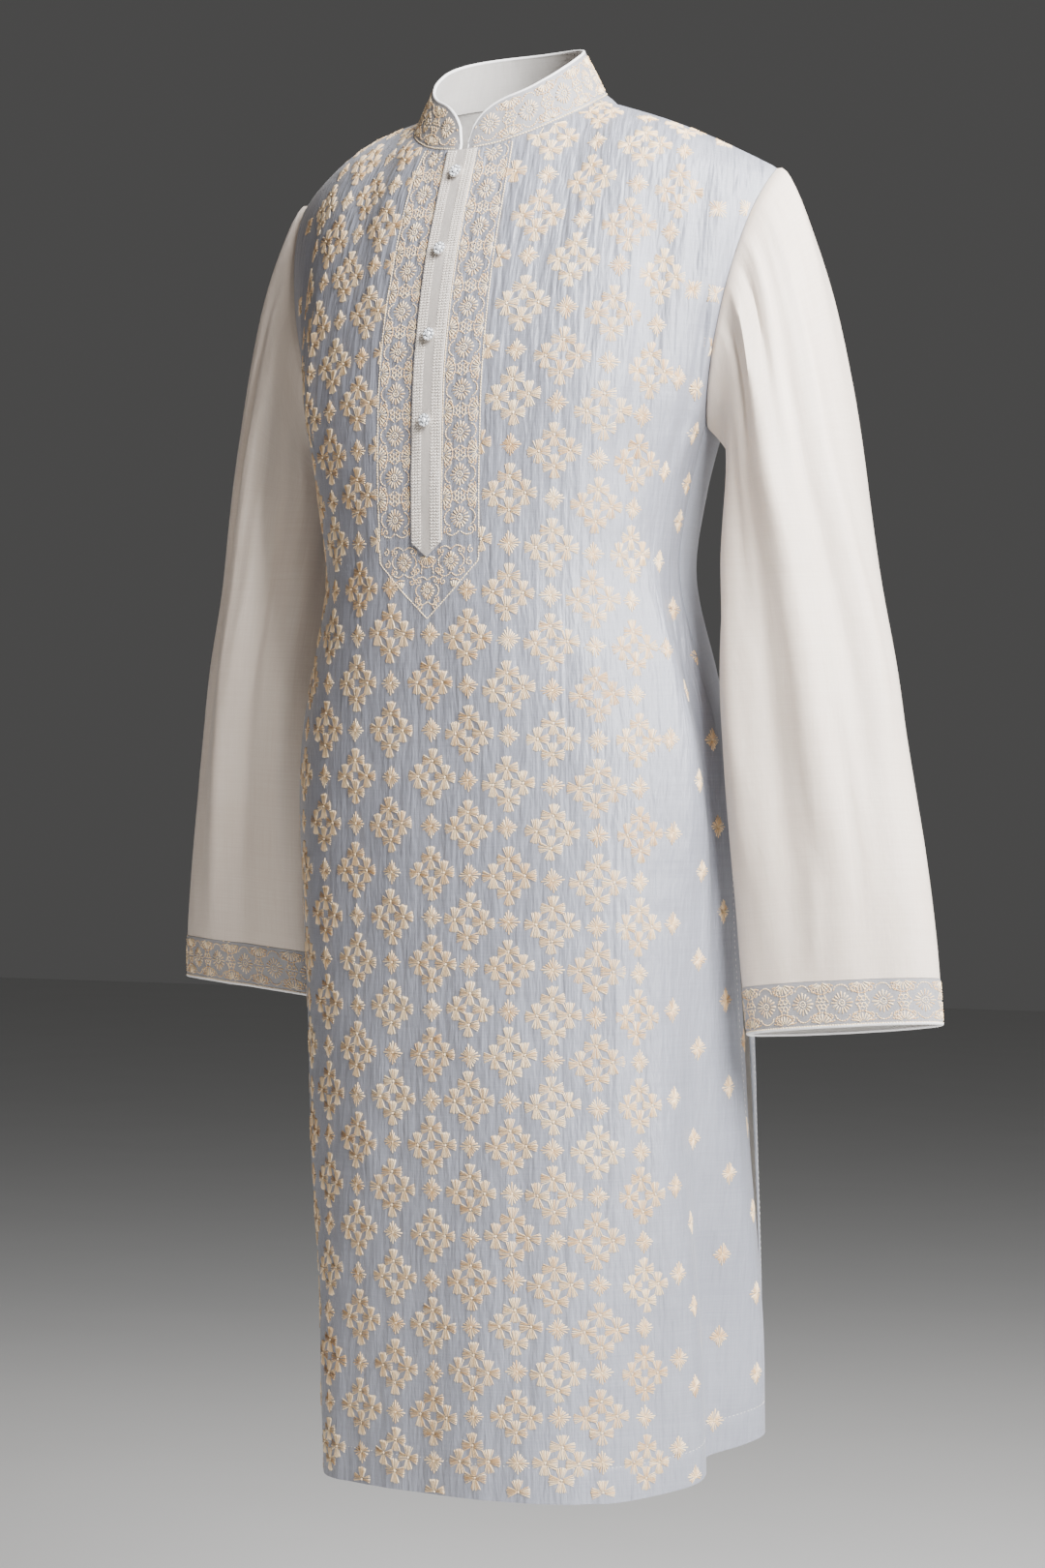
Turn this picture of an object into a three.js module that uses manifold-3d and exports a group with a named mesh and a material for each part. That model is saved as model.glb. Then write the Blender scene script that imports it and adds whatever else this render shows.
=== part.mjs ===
// A long kurta with a stand collar, a buttoned placket and full sleeves, filled out as it is worn.
// It faces -Y with +Z up, and the wearer's left is +X. Its origin is the middle of the neck, level with
// the tops of the shoulder seams. Every panel is a thin wall of cloth, and all sizes are in millimetres.
import * as THREE from "three";
import { mergeVertices } from "three/addons/utils/BufferGeometryUtils.js";
import Module from "manifold-3d";

// Cloth and seams
const CLOTH = 1.4;
const COLLAR_CLOTH = 2.0;
const CUFF_CLOTH = 1.8;
const PLACKET_CLOTH = 1.2;
const SEAM_GAP = 0.3;
const COLLAR_GAP = 0.6;

// Small steps for slopes and normals: as a share of a panel's width, in degrees round a sleeve and in length
const STEP = 0.005;
const LENGTH_STEP = 0.5;
const SLOPE_SPAN = 20;

// Heights of the body panels
const HEM_Z = -1040;
const SLIT_TOP_Z = -585;
const ARMPIT_Z = -250;
const YOKE_RISE = 250;
const TOP_V = ARMPIT_Z + YOKE_RISE;

// Cross-sections of the body, from hem to armpit: half width, y at the front, the back and the widest place,
// and how many degrees the front panel wraps past that place to the side seam
const BODY_ROWS = [
  { z: -1040, half: 168, front: -104, back: 190, middle: 45, wrap: 33 },
  { z: -950, half: 171, front: -105, back: 186, middle: 42, wrap: 30 },
  { z: -880, half: 173, front: -106, back: 176, middle: 37, wrap: 26 },
  { z: -800, half: 175, front: -107, back: 165, middle: 30, wrap: 21 },
  { z: -700, half: 177, front: -107, back: 155, middle: 24, wrap: 16 },
  { z: -620, half: 179, front: -108, back: 144, middle: 18, wrap: 12 },
  { z: -540, half: 179, front: -109, back: 132, middle: 12, wrap: 9 },
  { z: -480, half: 174, front: -109, back: 121, middle: 8, wrap: 6 },
  { z: -430, half: 162, front: -110, back: 111, middle: 5, wrap: 4 },
  { z: -360, half: 147, front: -110, back: 101, middle: 3, wrap: 2 },
  { z: -300, half: 156, front: -111, back: 100, middle: 5, wrap: 1 },
  { z: -250, half: 170, front: -110, back: 103, middle: 8, wrap: 0 },
];
const BOXINESS = 0.05;

// How much higher the hem is at the slit corners than at the middle
const HEM_RISE = { left: 40, right: 16, from: 0.38 };

// How far the panel edges part at the side slit, as an angle of the section, from slit top to hem
const SLIT_ROWS = [
  { z: -1040, part: 5 },
  { z: -900, part: 4.5 },
  { z: -750, part: 4 },
  { z: -640, part: 2.5 },
  { z: -585, part: 0 },
];

// Neckline: an oval round the neck, lower at the front, with the shoulder seams at its sides
const NECK = { half: 78, front: -62, back: 64, drop: 42, rise: 11, seamAngle: 96, share: 0.4 };
const SHOULDERS = {
  left: { tip: new THREE.Vector3(215, 33, -62), arch: 5 },
  right: { tip: new THREE.Vector3(217, 33, -53), arch: 9 },
};

// Directions in which the panels leave the armpit level and reach the top edge
const FRONT_YOKE = {
  armStart: new THREE.Vector3(60, -120, 150),
  armEnd: new THREE.Vector3(25, 120, 100),
  neckLift: 66,
  seamLift: 2,
  neckReach: 150,
  seamReach: 215,
};
const BACK_YOKE = {
  armStart: new THREE.Vector3(60, 170, 150),
  armEnd: new THREE.Vector3(25, -170, 100),
  neckLift: 84,
  seamLift: 4,
  neckReach: 150,
  seamReach: 232,
};

// Where across a panel the neck's shape gives way to the shoulder's and to the armhole's
const FLAT_FROM = 0.52;
const NECK_TURN = { from: 0.25, to: 0.5 };
const ARM_SHARPNESS = 7;

// Folds of the body panels. t runs from -1 at the right side seam to 1 at the left one, and v is the height.
// lean is how far t shifts from bottom to top. A fold that starts below the hem is open there.
const FOLDS = [
  { panel: "front", t: 0.6, lean: -0.02, spread: 0.07, depth: 9, bottom: -1090, top: -640 },
  { panel: "front", t: 0.72, lean: -0.02, spread: 0.055, depth: -15, bottom: -1090, top: -600 },
  { panel: "front", t: 0.87, lean: 0.0, spread: 0.07, depth: 11, bottom: -1090, top: -620 },
  { panel: "front", t: 0.3, lean: 0.05, spread: 0.1, depth: 4, bottom: -1090, top: -720 },
  { panel: "front", t: -0.05, lean: 0.02, spread: 0.08, depth: -3, bottom: -1090, top: -760 },
  { panel: "front", t: -0.34, lean: 0.03, spread: 0.08, depth: 4, bottom: -1090, top: -680 },
  { panel: "front", t: -0.54, lean: 0.04, spread: 0.1, depth: -7, bottom: -1090, top: -800 },
  { panel: "front", t: -0.8, lean: 0.02, spread: 0.07, depth: 6, bottom: -1090, top: -700 },
  { panel: "front", t: 0.7, lean: 0.12, spread: 0.06, depth: 7, bottom: -620, top: -330 },
  { panel: "front", t: 0.86, lean: 0.06, spread: 0.05, depth: -6, bottom: -600, top: -330 },
  { panel: "front", t: 0.6, lean: 0.12, spread: 0.05, depth: -5, bottom: -330, top: -70 },
  { panel: "front", t: 0.7, lean: 0.1, spread: 0.05, depth: 4, bottom: -330, top: -70 },
  { panel: "front", t: -0.66, lean: -0.08, spread: 0.06, depth: -4, bottom: -330, top: -80 },
  { panel: "back", t: 0.7, lean: 0.05, spread: 0.09, depth: 8, bottom: -1090, top: -560 },
  { panel: "back", t: 0.45, lean: -0.03, spread: 0.09, depth: -9, bottom: -1090, top: -600 },
  { panel: "back", t: 0.16, lean: 0.04, spread: 0.1, depth: 8, bottom: -1090, top: -520 },
  { panel: "back", t: -0.14, lean: -0.05, spread: 0.09, depth: -8, bottom: -1090, top: -540 },
  { panel: "back", t: -0.44, lean: 0.04, spread: 0.1, depth: 9, bottom: -1090, top: -580 },
  { panel: "back", t: -0.74, lean: -0.03, spread: 0.08, depth: -7, bottom: -1090, top: -620 },
  { panel: "back", t: 0.3, lean: 0.1, spread: 0.08, depth: 5, bottom: -470, top: -230 },
  { panel: "back", t: -0.32, lean: -0.1, spread: 0.08, depth: 5, bottom: -480, top: -240 },
];

// Cross-sections of the sleeves below the armpit: centre, half sizes across and through, and turn in degrees
const LEFT_ROWS = [
  { z: -300, x: 235, y: 31, wide: 50, thick: 56, turn: 4 },
  { z: -360, x: 240, y: 26, wide: 57, thick: 50, turn: 12 },
  { z: -430, x: 248, y: 21, wide: 65, thick: 43, turn: 17 },
  { z: -500, x: 256, y: 20, wide: 69, thick: 36, turn: 17 },
  { z: -570, x: 264, y: 22, wide: 72, thick: 31, turn: 16 },
  { z: -640, x: 270, y: 26, wide: 74, thick: 27, turn: 14 },
  { z: -694, x: 273, y: 30, wide: 74, thick: 24, turn: 12 },
];
const RIGHT_ROWS = [
  { z: -300, x: 224, y: 31, wide: 49, thick: 56, turn: 4 },
  { z: -360, x: 228, y: 26, wide: 56, thick: 50, turn: 12 },
  { z: -430, x: 240, y: 21, wide: 63, thick: 43, turn: 17 },
  { z: -500, x: 252, y: 20, wide: 67, thick: 36, turn: 17 },
  { z: -570, x: 262, y: 22, wide: 71, thick: 31, turn: 16 },
  { z: -640, x: 269, y: 26, wide: 74, thick: 27, turn: 14 },
  { z: -676, x: 272, y: 30, wide: 74, thick: 24, turn: 12 },
];
const SLEEVE_TOP_Z = -300;
const SLEEVE_SPAN = 10;
const CUFF_HEIGHT = 33;
const SLEEVES = {
  left: { rows: LEFT_ROWS, side: 1, end: -694 },
  right: { rows: RIGHT_ROWS, side: -1, end: -676 },
};
const CUFF_TILT = { across: 0.1, through: -0.12 };
const ARMHOLE_OUT = new THREE.Vector3(188, 0, -45).normalize();
const CAP_START = { out: 90, down: 10, forward: 14 };
const UNDER_START = { out: 46, down: 58 };
const CAP_REACH = { top: 150, under: 60 };

// Share of a fold's length over which it fades out at its ends
const FADE = { open: 0.8, end: 0.35, cap: 0.25 };

// Folds of a sleeve. a is the angle round it in degrees, from the shoulder over the front to the armpit.
const SLEEVE_FOLDS = [
  { a: 28, lean: 8, spread: 9, depth: 4, bottom: -560, top: -40 },
  { a: 52, lean: 6, spread: 9, depth: -4, bottom: -600, top: -60 },
  { a: 78, lean: 10, spread: 10, depth: 5, bottom: -700, top: -110 },
  { a: 108, lean: 4, spread: 10, depth: -4, bottom: -720, top: -150 },
  { a: 140, lean: 6, spread: 12, depth: 5, bottom: -620, top: -200 },
  { a: 215, lean: -6, spread: 12, depth: 4, bottom: -640, top: -200 },
  { a: 250, lean: -5, spread: 11, depth: -5, bottom: -720, top: -150 },
  { a: 285, lean: -8, spread: 11, depth: 5, bottom: -700, top: -110 },
  { a: 325, lean: -6, spread: 10, depth: -4, bottom: -560, top: -50 },
];

// Collar
const COLLAR = { height: 34, frontLean: 8, lean: 17, frontAngle: 2.8, corner: 30, endHeight: 5, bend: 0.25 };

// Placket and buttons
const PLACKET = { half: 13, bottomV: -352, tip: 14, topDrop: 1.2 };
const OPENING = { half: 0.6, bottomV: -330, depth: 100, past: 20 };
const BUTTONS = { drops: [30.5, 111, 183, 248], radius: 5.6, height: 4.6 };

// Half of a button's outline, from the back to the top of the stone, as shares of its radius and height
const BUTTON_OUTLINE = [
  { across: 0, up: 0 },
  { across: 0.57, up: 0 },
  { across: 1, up: 0.35 },
  { across: 1, up: 0.62 },
  { across: 0.87, up: 0.72 },
  { across: 0.71, up: 0.6 },
  { across: 0.44, up: 0.92 },
  { across: 0, up: 1 },
];

// Mesh counts
const FRONT_GRID = { across: 40, low: 20, yoke: 12 };
const BACK_GRID = { across: 30, low: 20, yoke: 12 };
const SLEEVE_GRID = { round: 24, cap: 6, low: 12 };
const COLLAR_GRID = { round: 46, up: 3 };
const PLACKET_GRID = { across: 2, along: 30 };
const BUTTON_SIDES = 20;
const SAME_PLACE = 1e-4;

const { sin, cos, abs, min, max, PI, sqrt, exp, sign } = Math;
const DEG = PI / 180;
const lerp = (a, b, s) => a + (b - a) * s;
const smooth = (s) => {
  const c = min(1, max(0, s));
  return c * c * (3 - 2 * c);
};

// The value of a named column at height z, on a smooth curve through the table's rows.
function column(rows, name, z) {
  const last = rows.length - 1;
  const rising = rows[last].z > rows[0].z;
  const at = (i) => (rising ? rows[i] : rows[last - i]);
  const c = min(at(last).z, max(at(0).z, z));
  let i = 0;
  while (i < last - 1 && c > at(i + 1).z) i += 1;
  const slope = (j) => {
    const a = at(max(0, j - 1));
    const b = at(min(last, j + 1));
    return (b[name] - a[name]) / (b.z - a.z);
  };
  const span = at(i + 1).z - at(i).z;
  const s = (c - at(i).z) / span;
  const s2 = s * s;
  const s3 = s2 * s;
  return (
    (2 * s3 - 3 * s2 + 1) * at(i)[name] +
    (s3 - 2 * s2 + s) * span * slope(i) +
    (3 * s2 - 2 * s3) * at(i + 1)[name] +
    (s3 - s2) * span * slope(i + 1)
  );
}

// A point on a curve from p0 to p1 that leaves along t0 and arrives along t1.
function hermite(p0, t0, p1, t1, w) {
  const w2 = w * w;
  const w3 = w2 * w;
  return new THREE.Vector3()
    .addScaledVector(p0, 2 * w3 - 3 * w2 + 1)
    .addScaledVector(t0, w3 - 2 * w2 + w)
    .addScaledVector(p1, 3 * w2 - 2 * w3)
    .addScaledVector(t1, w3 - w2);
}

// Height of the folds at one place of a panel.
function foldHeight(panel, t, v) {
  let height = 0;
  for (const f of FOLDS) {
    if (f.panel !== panel || v > f.top || v < f.bottom) continue;
    const s = (v - f.bottom) / (f.top - f.bottom);
    const across = (t - f.t - f.lean * s) / f.spread;
    const open = f.bottom < HEM_Z;
    const fade = open ? smooth((1 - s) / FADE.open) : smooth(s / FADE.end) * smooth((1 - s) / FADE.end);
    height += f.depth * exp(-across * across) * fade;
  }
  return height;
}

// A point of the body below the armpits.
function sectionPoint(panel, t, z) {
  const half = column(BODY_ROWS, "half", z);
  const middle = column(BODY_ROWS, "middle", z);
  const part = z < SLIT_TOP_Z ? column(SLIT_ROWS, "part", z) : 0;
  const wrap = column(BODY_ROWS, "wrap", z);
  const turned = t * (90 - part + (panel === "front" ? wrap : -wrap));
  const angle = (panel === "front" ? turned : 180 - turned) * DEG;
  const depth = column(BODY_ROWS, cos(angle) > 0 ? "front" : "back", z) - middle;
  const boxy = 1 + BOXINESS * sin(2 * angle) ** 2;
  const rise = t > 0 ? HEM_RISE.left : HEM_RISE.right;
  const low = max(0, (SLIT_TOP_Z - z) / (SLIT_TOP_Z - HEM_Z));
  const lift = rise * low * smooth((abs(t) - HEM_RISE.from) / (1 - HEM_RISE.from));
  return new THREE.Vector3(half * sin(angle) * boxy, middle + depth * abs(cos(angle)) * boxy, z + lift);
}

// The neckline at an angle round the neck: 0 at the front, 90 at the wearer's left and 180 at the back.
function necklinePoint(angle) {
  const c = cos(angle * DEG);
  const depth = c > 0 ? -NECK.front : NECK.back;
  const z = -NECK.drop * ((1 + c) / 2) ** 2 + NECK.rise * ((1 - c) / 2);
  return new THREE.Vector3(NECK.half * sin(angle * DEG), -depth * c, z);
}

// The top edge of a panel: its half of the neckline, then the shoulder seam.
function topPoint(panel, t) {
  const across = abs(t);
  const from = panel === "front" ? 0 : 180;
  let p;
  if (across < NECK.share) p = necklinePoint(lerp(from, NECK.seamAngle, across / NECK.share));
  else {
    const s = (across - NECK.share) / (1 - NECK.share);
    const shoulder = t > 0 ? SHOULDERS.left : SHOULDERS.right;
    p = necklinePoint(NECK.seamAngle).lerp(shoulder.tip, s);
    p.z += shoulder.arch * sin(PI * s);
  }
  if (t < 0) p.x = -p.x;
  return p;
}

// A point of a body panel without its folds.
function plainPoint(panel, t, v) {
  if (v <= ARMPIT_Z) return sectionPoint(panel, t, v);
  const yoke = panel === "front" ? FRONT_YOKE : BACK_YOKE;
  const back = panel === "front" ? 1 : -1;
  const p0 = sectionPoint(panel, t, ARMPIT_Z);
  const below = sectionPoint(panel, t, ARMPIT_Z - SLOPE_SPAN);
  const start = p0.clone().sub(below).multiplyScalar(YOKE_RISE / SLOPE_SPAN);
  const mirror = new THREE.Vector3(sign(t) || 1, 1, 1);
  const arm = abs(t) ** ARM_SHARPNESS;
  start.lerp(yoke.armStart.clone().multiply(mirror), arm);
  const s = smooth(abs(t) / FLAT_FROM);
  const lift = lerp(yoke.neckLift, yoke.seamLift, s) * DEG;
  const reach = lerp(yoke.neckReach, yoke.seamReach, s);
  const round = min(1, abs(t) / NECK.share) * (back > 0 ? NECK.seamAngle : 180 - NECK.seamAngle);
  const straight = smooth((abs(t) - NECK_TURN.from) / (NECK_TURN.to - NECK_TURN.from));
  const turn = round * (1 - straight) * DEG;
  const level = cos(lift) * reach;
  const end = new THREE.Vector3(-sign(t) * sin(turn) * level, back * cos(turn) * level, sin(lift) * reach);
  end.lerp(yoke.armEnd.clone().multiply(mirror), arm);
  return hermite(p0, start, topPoint(panel, t), end, (v - ARMPIT_Z) / YOKE_RISE);
}

// Outward normal of a surface given as a function of two numbers.
function normalOf(surface, a, b, aRange, bRange, outward) {
  const a0 = max(aRange[0], a - STEP);
  const a1 = min(aRange[1], a + STEP);
  const b0 = max(bRange[0], b - LENGTH_STEP);
  const b1 = min(bRange[1], b + LENGTH_STEP);
  const across = surface(a1, b).sub(surface(a0, b));
  const along = surface(a, b1).sub(surface(a, b0));
  return across.cross(along).normalize().multiplyScalar(outward);
}

// A point of a body panel and its outward normal. lift moves the point out along the normal.
function panelPoint(panel, t, v, lift = 0) {
  const outward = panel === "front" ? 1 : -1;
  const plain = (a, b) => plainPoint(panel, a, b);
  const n0 = normalOf(plain, t, v, [-1, 1], [HEM_Z, TOP_V], outward);
  const point = plain(t, v).addScaledVector(n0, foldHeight(panel, t, v));
  const folded = (a, b) => plain(a, b).addScaledVector(n0, foldHeight(panel, a, b));
  const normal = normalOf(folded, t, v, [-1, 1], [HEM_Z, TOP_V], outward);
  return { point: point.addScaledVector(normal, lift), normal };
}

// A closed wall from a grid of { point, normal } and a thickness. ring joins the last column to the first.
function wall(columns, rows, thickness, at, ring = false) {
  const across = ring ? columns : columns + 1;
  const positions = [];
  for (const depth of [0, thickness]) {
    for (let i = 0; i < across; i += 1) {
      for (let j = 0; j <= rows; j += 1) {
        const { point, normal } = at(i / columns, j / rows, i, j);
        positions.push(...point.clone().addScaledVector(normal, -depth).toArray());
      }
    }
  }
  const layer = across * (rows + 1);
  const id = (i, j, inner) => (i % across) * (rows + 1) + j + (inner ? layer : 0);
  const index = [];
  const quad = (a, b, c, d) => index.push(a, b, c, a, c, d);
  for (let i = 0; i < columns; i += 1) {
    for (let j = 0; j < rows; j += 1) {
      quad(id(i, j), id(i + 1, j), id(i + 1, j + 1), id(i, j + 1));
      quad(id(i, j, 1), id(i, j + 1, 1), id(i + 1, j + 1, 1), id(i + 1, j, 1));
    }
    quad(id(i, 0), id(i, 0, 1), id(i + 1, 0, 1), id(i + 1, 0));
    quad(id(i, rows), id(i + 1, rows), id(i + 1, rows, 1), id(i, rows, 1));
  }
  if (!ring) {
    for (let j = 0; j < rows; j += 1) {
      quad(id(0, j), id(0, j + 1), id(0, j + 1, 1), id(0, j, 1));
      quad(id(columns, j), id(columns, j, 1), id(columns, j + 1, 1), id(columns, j + 1));
    }
  }
  const geometry = new THREE.BufferGeometry();
  geometry.setAttribute("position", new THREE.Float32BufferAttribute(positions, 3));
  geometry.setIndex(index);
  return geometry;
}

// Turns every face of a geometry round.
function flipped(geometry) {
  const index = geometry.getIndex();
  for (let i = 0; i < index.count; i += 3) {
    const kept = index.getX(i);
    index.setX(i, index.getX(i + 1));
    index.setX(i + 1, kept);
  }
  return geometry;
}

// The normal that both panels share at a shoulder seam.
function shoulderNormal(side) {
  const shoulder = side > 0 ? SHOULDERS.left : SHOULDERS.right;
  const along = shoulder.tip.clone().sub(necklinePoint(NECK.seamAngle)).normalize();
  const normal = new THREE.Vector3(0, 0, 1).addScaledVector(along, -along.z).normalize();
  normal.x *= side;
  return normal;
}

// The normal that both panels share at a side seam.
function seamNormal(side, v) {
  const near = side * (1 - STEP);
  const across = plainPoint("back", near, v).sub(plainPoint("front", near, v));
  const along = plainPoint("front", side, v).sub(plainPoint("front", side, v - LENGTH_STEP));
  return across.cross(along).normalize().multiplyScalar(side);
}

// A body panel from hem to top edge. Its edges stop half a seam gap short of the neighbouring panel.
function bodyPanel(panel, grid) {
  const rows = grid.low + grid.yoke;
  const geometry = wall(grid.across, rows, CLOTH, (a, b, i, j) => {
    const t = lerp(-1, 1, a);
    const low = j / grid.low;
    const v = low <= 1 ? lerp(HEM_Z, ARMPIT_Z, low) : lerp(ARMPIT_Z, TOP_V, (j - grid.low) / grid.yoke);
    const found = panelPoint(panel, t, v);
    const { point, normal } = found;
    if (i === 0 || i === grid.across) {
      const inside = panelPoint(panel, t * (1 - STEP), v).point.sub(point).normalize();
      point.addScaledVector(inside, SEAM_GAP / 2);
      if (v > ARMPIT_Z) normal.x = max(0, normal.x * sign(t)) * sign(t);
      else normal.copy(seamNormal(sign(t), v));
    }
    if (j === rows && abs(t) > NECK.share - STEP) {
      point.y += (SEAM_GAP / 2) * (panel === "front" ? -1 : 1);
      normal.copy(shoulderNormal(sign(t)));
    }
    return found;
  });
  return panel === "front" ? geometry : flipped(geometry);
}

// The armhole's edge at an angle round it: 0 at the shoulder, 90 at the front and 180 at the armpit.
function armholePoint(sleeve, angle) {
  const front = angle <= 180;
  const w = front ? 1 - angle / 180 : (angle - 180) / 180;
  const v = ARMPIT_Z + w * YOKE_RISE;
  const { point } = panelPoint(front ? "front" : "back", sleeve.side, v);
  point.x *= sleeve.side;
  return point;
}

// Height of a sleeve's folds.
function sleeveFold(angle, z) {
  let height = 0;
  for (const f of SLEEVE_FOLDS) {
    const s = (z - f.bottom) / (f.top - f.bottom);
    if (s < 0 || s > 1) continue;
    const across = (angle - f.a - f.lean * s) / f.spread;
    height += f.depth * exp(-across * across) * smooth(s / FADE.end) * smooth((1 - s) / FADE.end);
  }
  return height;
}

// A point of a sleeve's oval at height z. Sleeves are made as left ones and the right one is mirrored.
function sleeveSection(sleeve, angle, z) {
  const a = angle * DEG;
  const { rows, end } = sleeve;
  const turn = column(rows, "turn", z) * DEG;
  const wide = column(rows, "wide", z) * cos(a);
  const thick = -column(rows, "thick", z) * sin(a);
  const dx = wide * cos(turn) - thick * sin(turn);
  const dy = wide * sin(turn) + thick * cos(turn);
  const s = (SLEEVE_TOP_Z - z) / (SLEEVE_TOP_Z - end);
  const dz = s * (CUFF_TILT.across * dx + CUFF_TILT.through * dy);
  return new THREE.Vector3(column(rows, "x", z) + dx, column(rows, "y", z) + dy, z + dz);
}

// A point of a sleeve. s runs from -1 at the armhole over 0 below the armpit to 1 at the end.
function sleevePlain(sleeve, angle, s) {
  if (s >= 0) return sleeveSection(sleeve, angle, lerp(SLEEVE_TOP_Z, sleeve.end, s));
  const a = angle * DEG;
  const top = (1 + cos(a)) / 2;
  const start = new THREE.Vector3(
    lerp(UNDER_START.out, CAP_START.out, top),
    -CAP_START.forward * sin(a) * 2 * top,
    -lerp(UNDER_START.down, CAP_START.down, top),
  );
  const edge = sleeveSection(sleeve, angle, SLEEVE_TOP_Z);
  const end = sleeveSection(sleeve, angle, SLEEVE_TOP_Z - SLEEVE_SPAN).sub(edge);
  end.multiplyScalar(lerp(CAP_REACH.under, CAP_REACH.top, top) / SLEEVE_SPAN);
  const from = armholePoint(sleeve, angle).addScaledVector(ARMHOLE_OUT, SEAM_GAP);
  return hermite(from, start, edge, end, s + 1);
}

// A point of a sleeve with its folds, and its outward normal.
function sleevePoint(sleeve, angle, s, lift = 0) {
  const surface = (a, b) => sleevePlain(sleeve, (a + 360) % 360, b / SLEEVE_SPAN);
  const ends = [-SLEEVE_SPAN, SLEEVE_SPAN];
  const normal = normalOf(surface, angle, s * SLEEVE_SPAN, [-STEP, 360 + STEP], ends, 1);
  const point = sleevePlain(sleeve, angle, s);
  point.addScaledVector(normal, sleeveFold(angle, point.z) * smooth((s + 1) / FADE.cap) + lift);
  return { point, normal };
}

// Radial direction in the armhole's plane, for the sleeve's first ring.
function armholeNormal(sleeve, angle) {
  const centre = armholePoint(sleeve, 0).add(armholePoint(sleeve, 180)).multiplyScalar(0.5);
  const radial = armholePoint(sleeve, angle).sub(centre);
  return radial.addScaledVector(ARMHOLE_OUT, -radial.dot(ARMHOLE_OUT)).normalize();
}

// Turns a geometry made as a left one into the side it is for.
function placed(geometry, side) {
  return side > 0 ? geometry : flipped(geometry.scale(-1, 1, 1));
}

// Where along a sleeve its cuff starts, and how much of the sleeve a seam gap takes.
function cuffStart(sleeve) {
  const length = SLEEVE_TOP_Z - sleeve.end;
  return { start: 1 - CUFF_HEIGHT / length, gap: SEAM_GAP / length };
}

// A sleeve from its armhole to where its cuff starts, and the cuff band.
function sleeveGeometry(sleeve) {
  const rows = SLEEVE_GRID.cap + SLEEVE_GRID.low;
  const at = (a, b, i, j) => {
    const cap = j / SLEEVE_GRID.cap;
    const low = (j - SLEEVE_GRID.cap) / SLEEVE_GRID.low;
    const found = sleevePoint(sleeve, a * 360, cap < 1 ? cap - 1 : lerp(0, cuffStart(sleeve).start, low));
    if (j === 0) found.normal = armholeNormal(sleeve, a * 360);
    return found;
  };
  return placed(wall(SLEEVE_GRID.round, rows, CLOTH, at, true), sleeve.side);
}

function cuffGeometry(sleeve) {
  const { start, gap } = cuffStart(sleeve);
  const lift = (CUFF_CLOTH - CLOTH) / 2;
  const at = (a, b) => sleevePoint(sleeve, a * 360, lerp(start + gap, 1, b), lift);
  return placed(wall(SLEEVE_GRID.round, 2, CUFF_CLOTH, at, true), sleeve.side);
}

// The neckline edge of the panels' straight-sided mesh, with its normal and its upward direction.
function neckEdge(angle) {
  const round = abs(angle);
  const front = round < NECK.seamAngle;
  const panel = front ? "front" : "back";
  const share = front ? round / NECK.seamAngle : (180 - round) / (180 - NECK.seamAngle);
  const half = (front ? FRONT_GRID : BACK_GRID).across / 2;
  const place = share * NECK.share * half;
  const from = Math.floor(place);
  const ends = [from, from + 1].map((i) => {
    const t = (i / half) * sign(angle);
    const { point, normal } = panelPoint(panel, t, TOP_V);
    return { point, normal: abs(t) > NECK.share - STEP ? shoulderNormal(sign(t)) : normal };
  });
  const point = ends[0].point.clone().lerp(ends[1].point, place - from);
  const normal = ends[0].normal.clone().lerp(ends[1].normal, place - from).normalize();
  const along = necklinePoint(angle + 1).sub(necklinePoint(angle - 1));
  return { point, normal, up: normal.clone().cross(along).normalize() };
}

// The stand collar, from its left front end round the back to its right front end.
function collarGeometry() {
  const perimeter = 2 * PI * sqrt((NECK.half ** 2 + NECK.front ** 2) / 2);
  const at = (a, b) => {
    const s = lerp(-1, 1, a);
    const round = 180 - (180 - COLLAR.frontAngle) * abs(s);
    const angle = s < 0 ? round : -round;
    const fromEnd = ((round - COLLAR.frontAngle) / 360) * perimeter;
    const c = 1 - min(1, fromEnd / COLLAR.corner);
    const height = lerp(COLLAR.endHeight, COLLAR.height, sqrt(max(0, 1 - c * c)));
    const edge = neckEdge(angle);
    const inward = new THREE.Vector3(-edge.point.x, -edge.point.y, 0).normalize();
    const rise = b * height;
    const point = edge.point.clone().addScaledVector(edge.up, COLLAR_GAP);
    point.z += rise;
    const lean = lerp(COLLAR.frontLean, COLLAR.lean, smooth(round / 90)) / COLLAR.height;
    point.addScaledVector(inward, lean * rise);
    const out = inward.clone().multiplyScalar(-1);
    out.z = lean;
    const normal = edge.normal.clone().lerp(out.normalize(), smooth(b / COLLAR.bend)).normalize();
    return { point, normal };
  };
  return wall(COLLAR_GRID.round, COLLAR_GRID.up, COLLAR_CLOTH, at);
}

// A strip down the middle of the front panel, lifted off it, with a pointed lower end.
function placketGeometry(lift) {
  const { half, bottomV, tip, topDrop } = PLACKET;
  const middle = (v) => panelPoint("front", 0, v).point;
  const width = (v) => panelPoint("front", STEP, v).point.distanceTo(middle(v)) / STEP;
  const at = (a, b) => {
    const across = lerp(-1, 1, a);
    const foot = bottomV + tip * abs(across);
    const v = lerp(foot, TOP_V - topDrop, b);
    return panelPoint("front", (across * half) / width(v), v, lift);
  };
  return wall(PLACKET_GRID.across, PLACKET_GRID.along, PLACKET_CLOTH, at);
}

// A round button with a domed stone in a rim, its back at the origin and its face towards +Z.
function buttonGeometry() {
  const { radius, height } = BUTTONS;
  const profile = BUTTON_OUTLINE.map(({ across, up }) => new THREE.Vector2(across * radius, up * height));
  return new THREE.LatheGeometry(profile, BUTTON_SIDES).rotateX(PI / 2);
}

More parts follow.
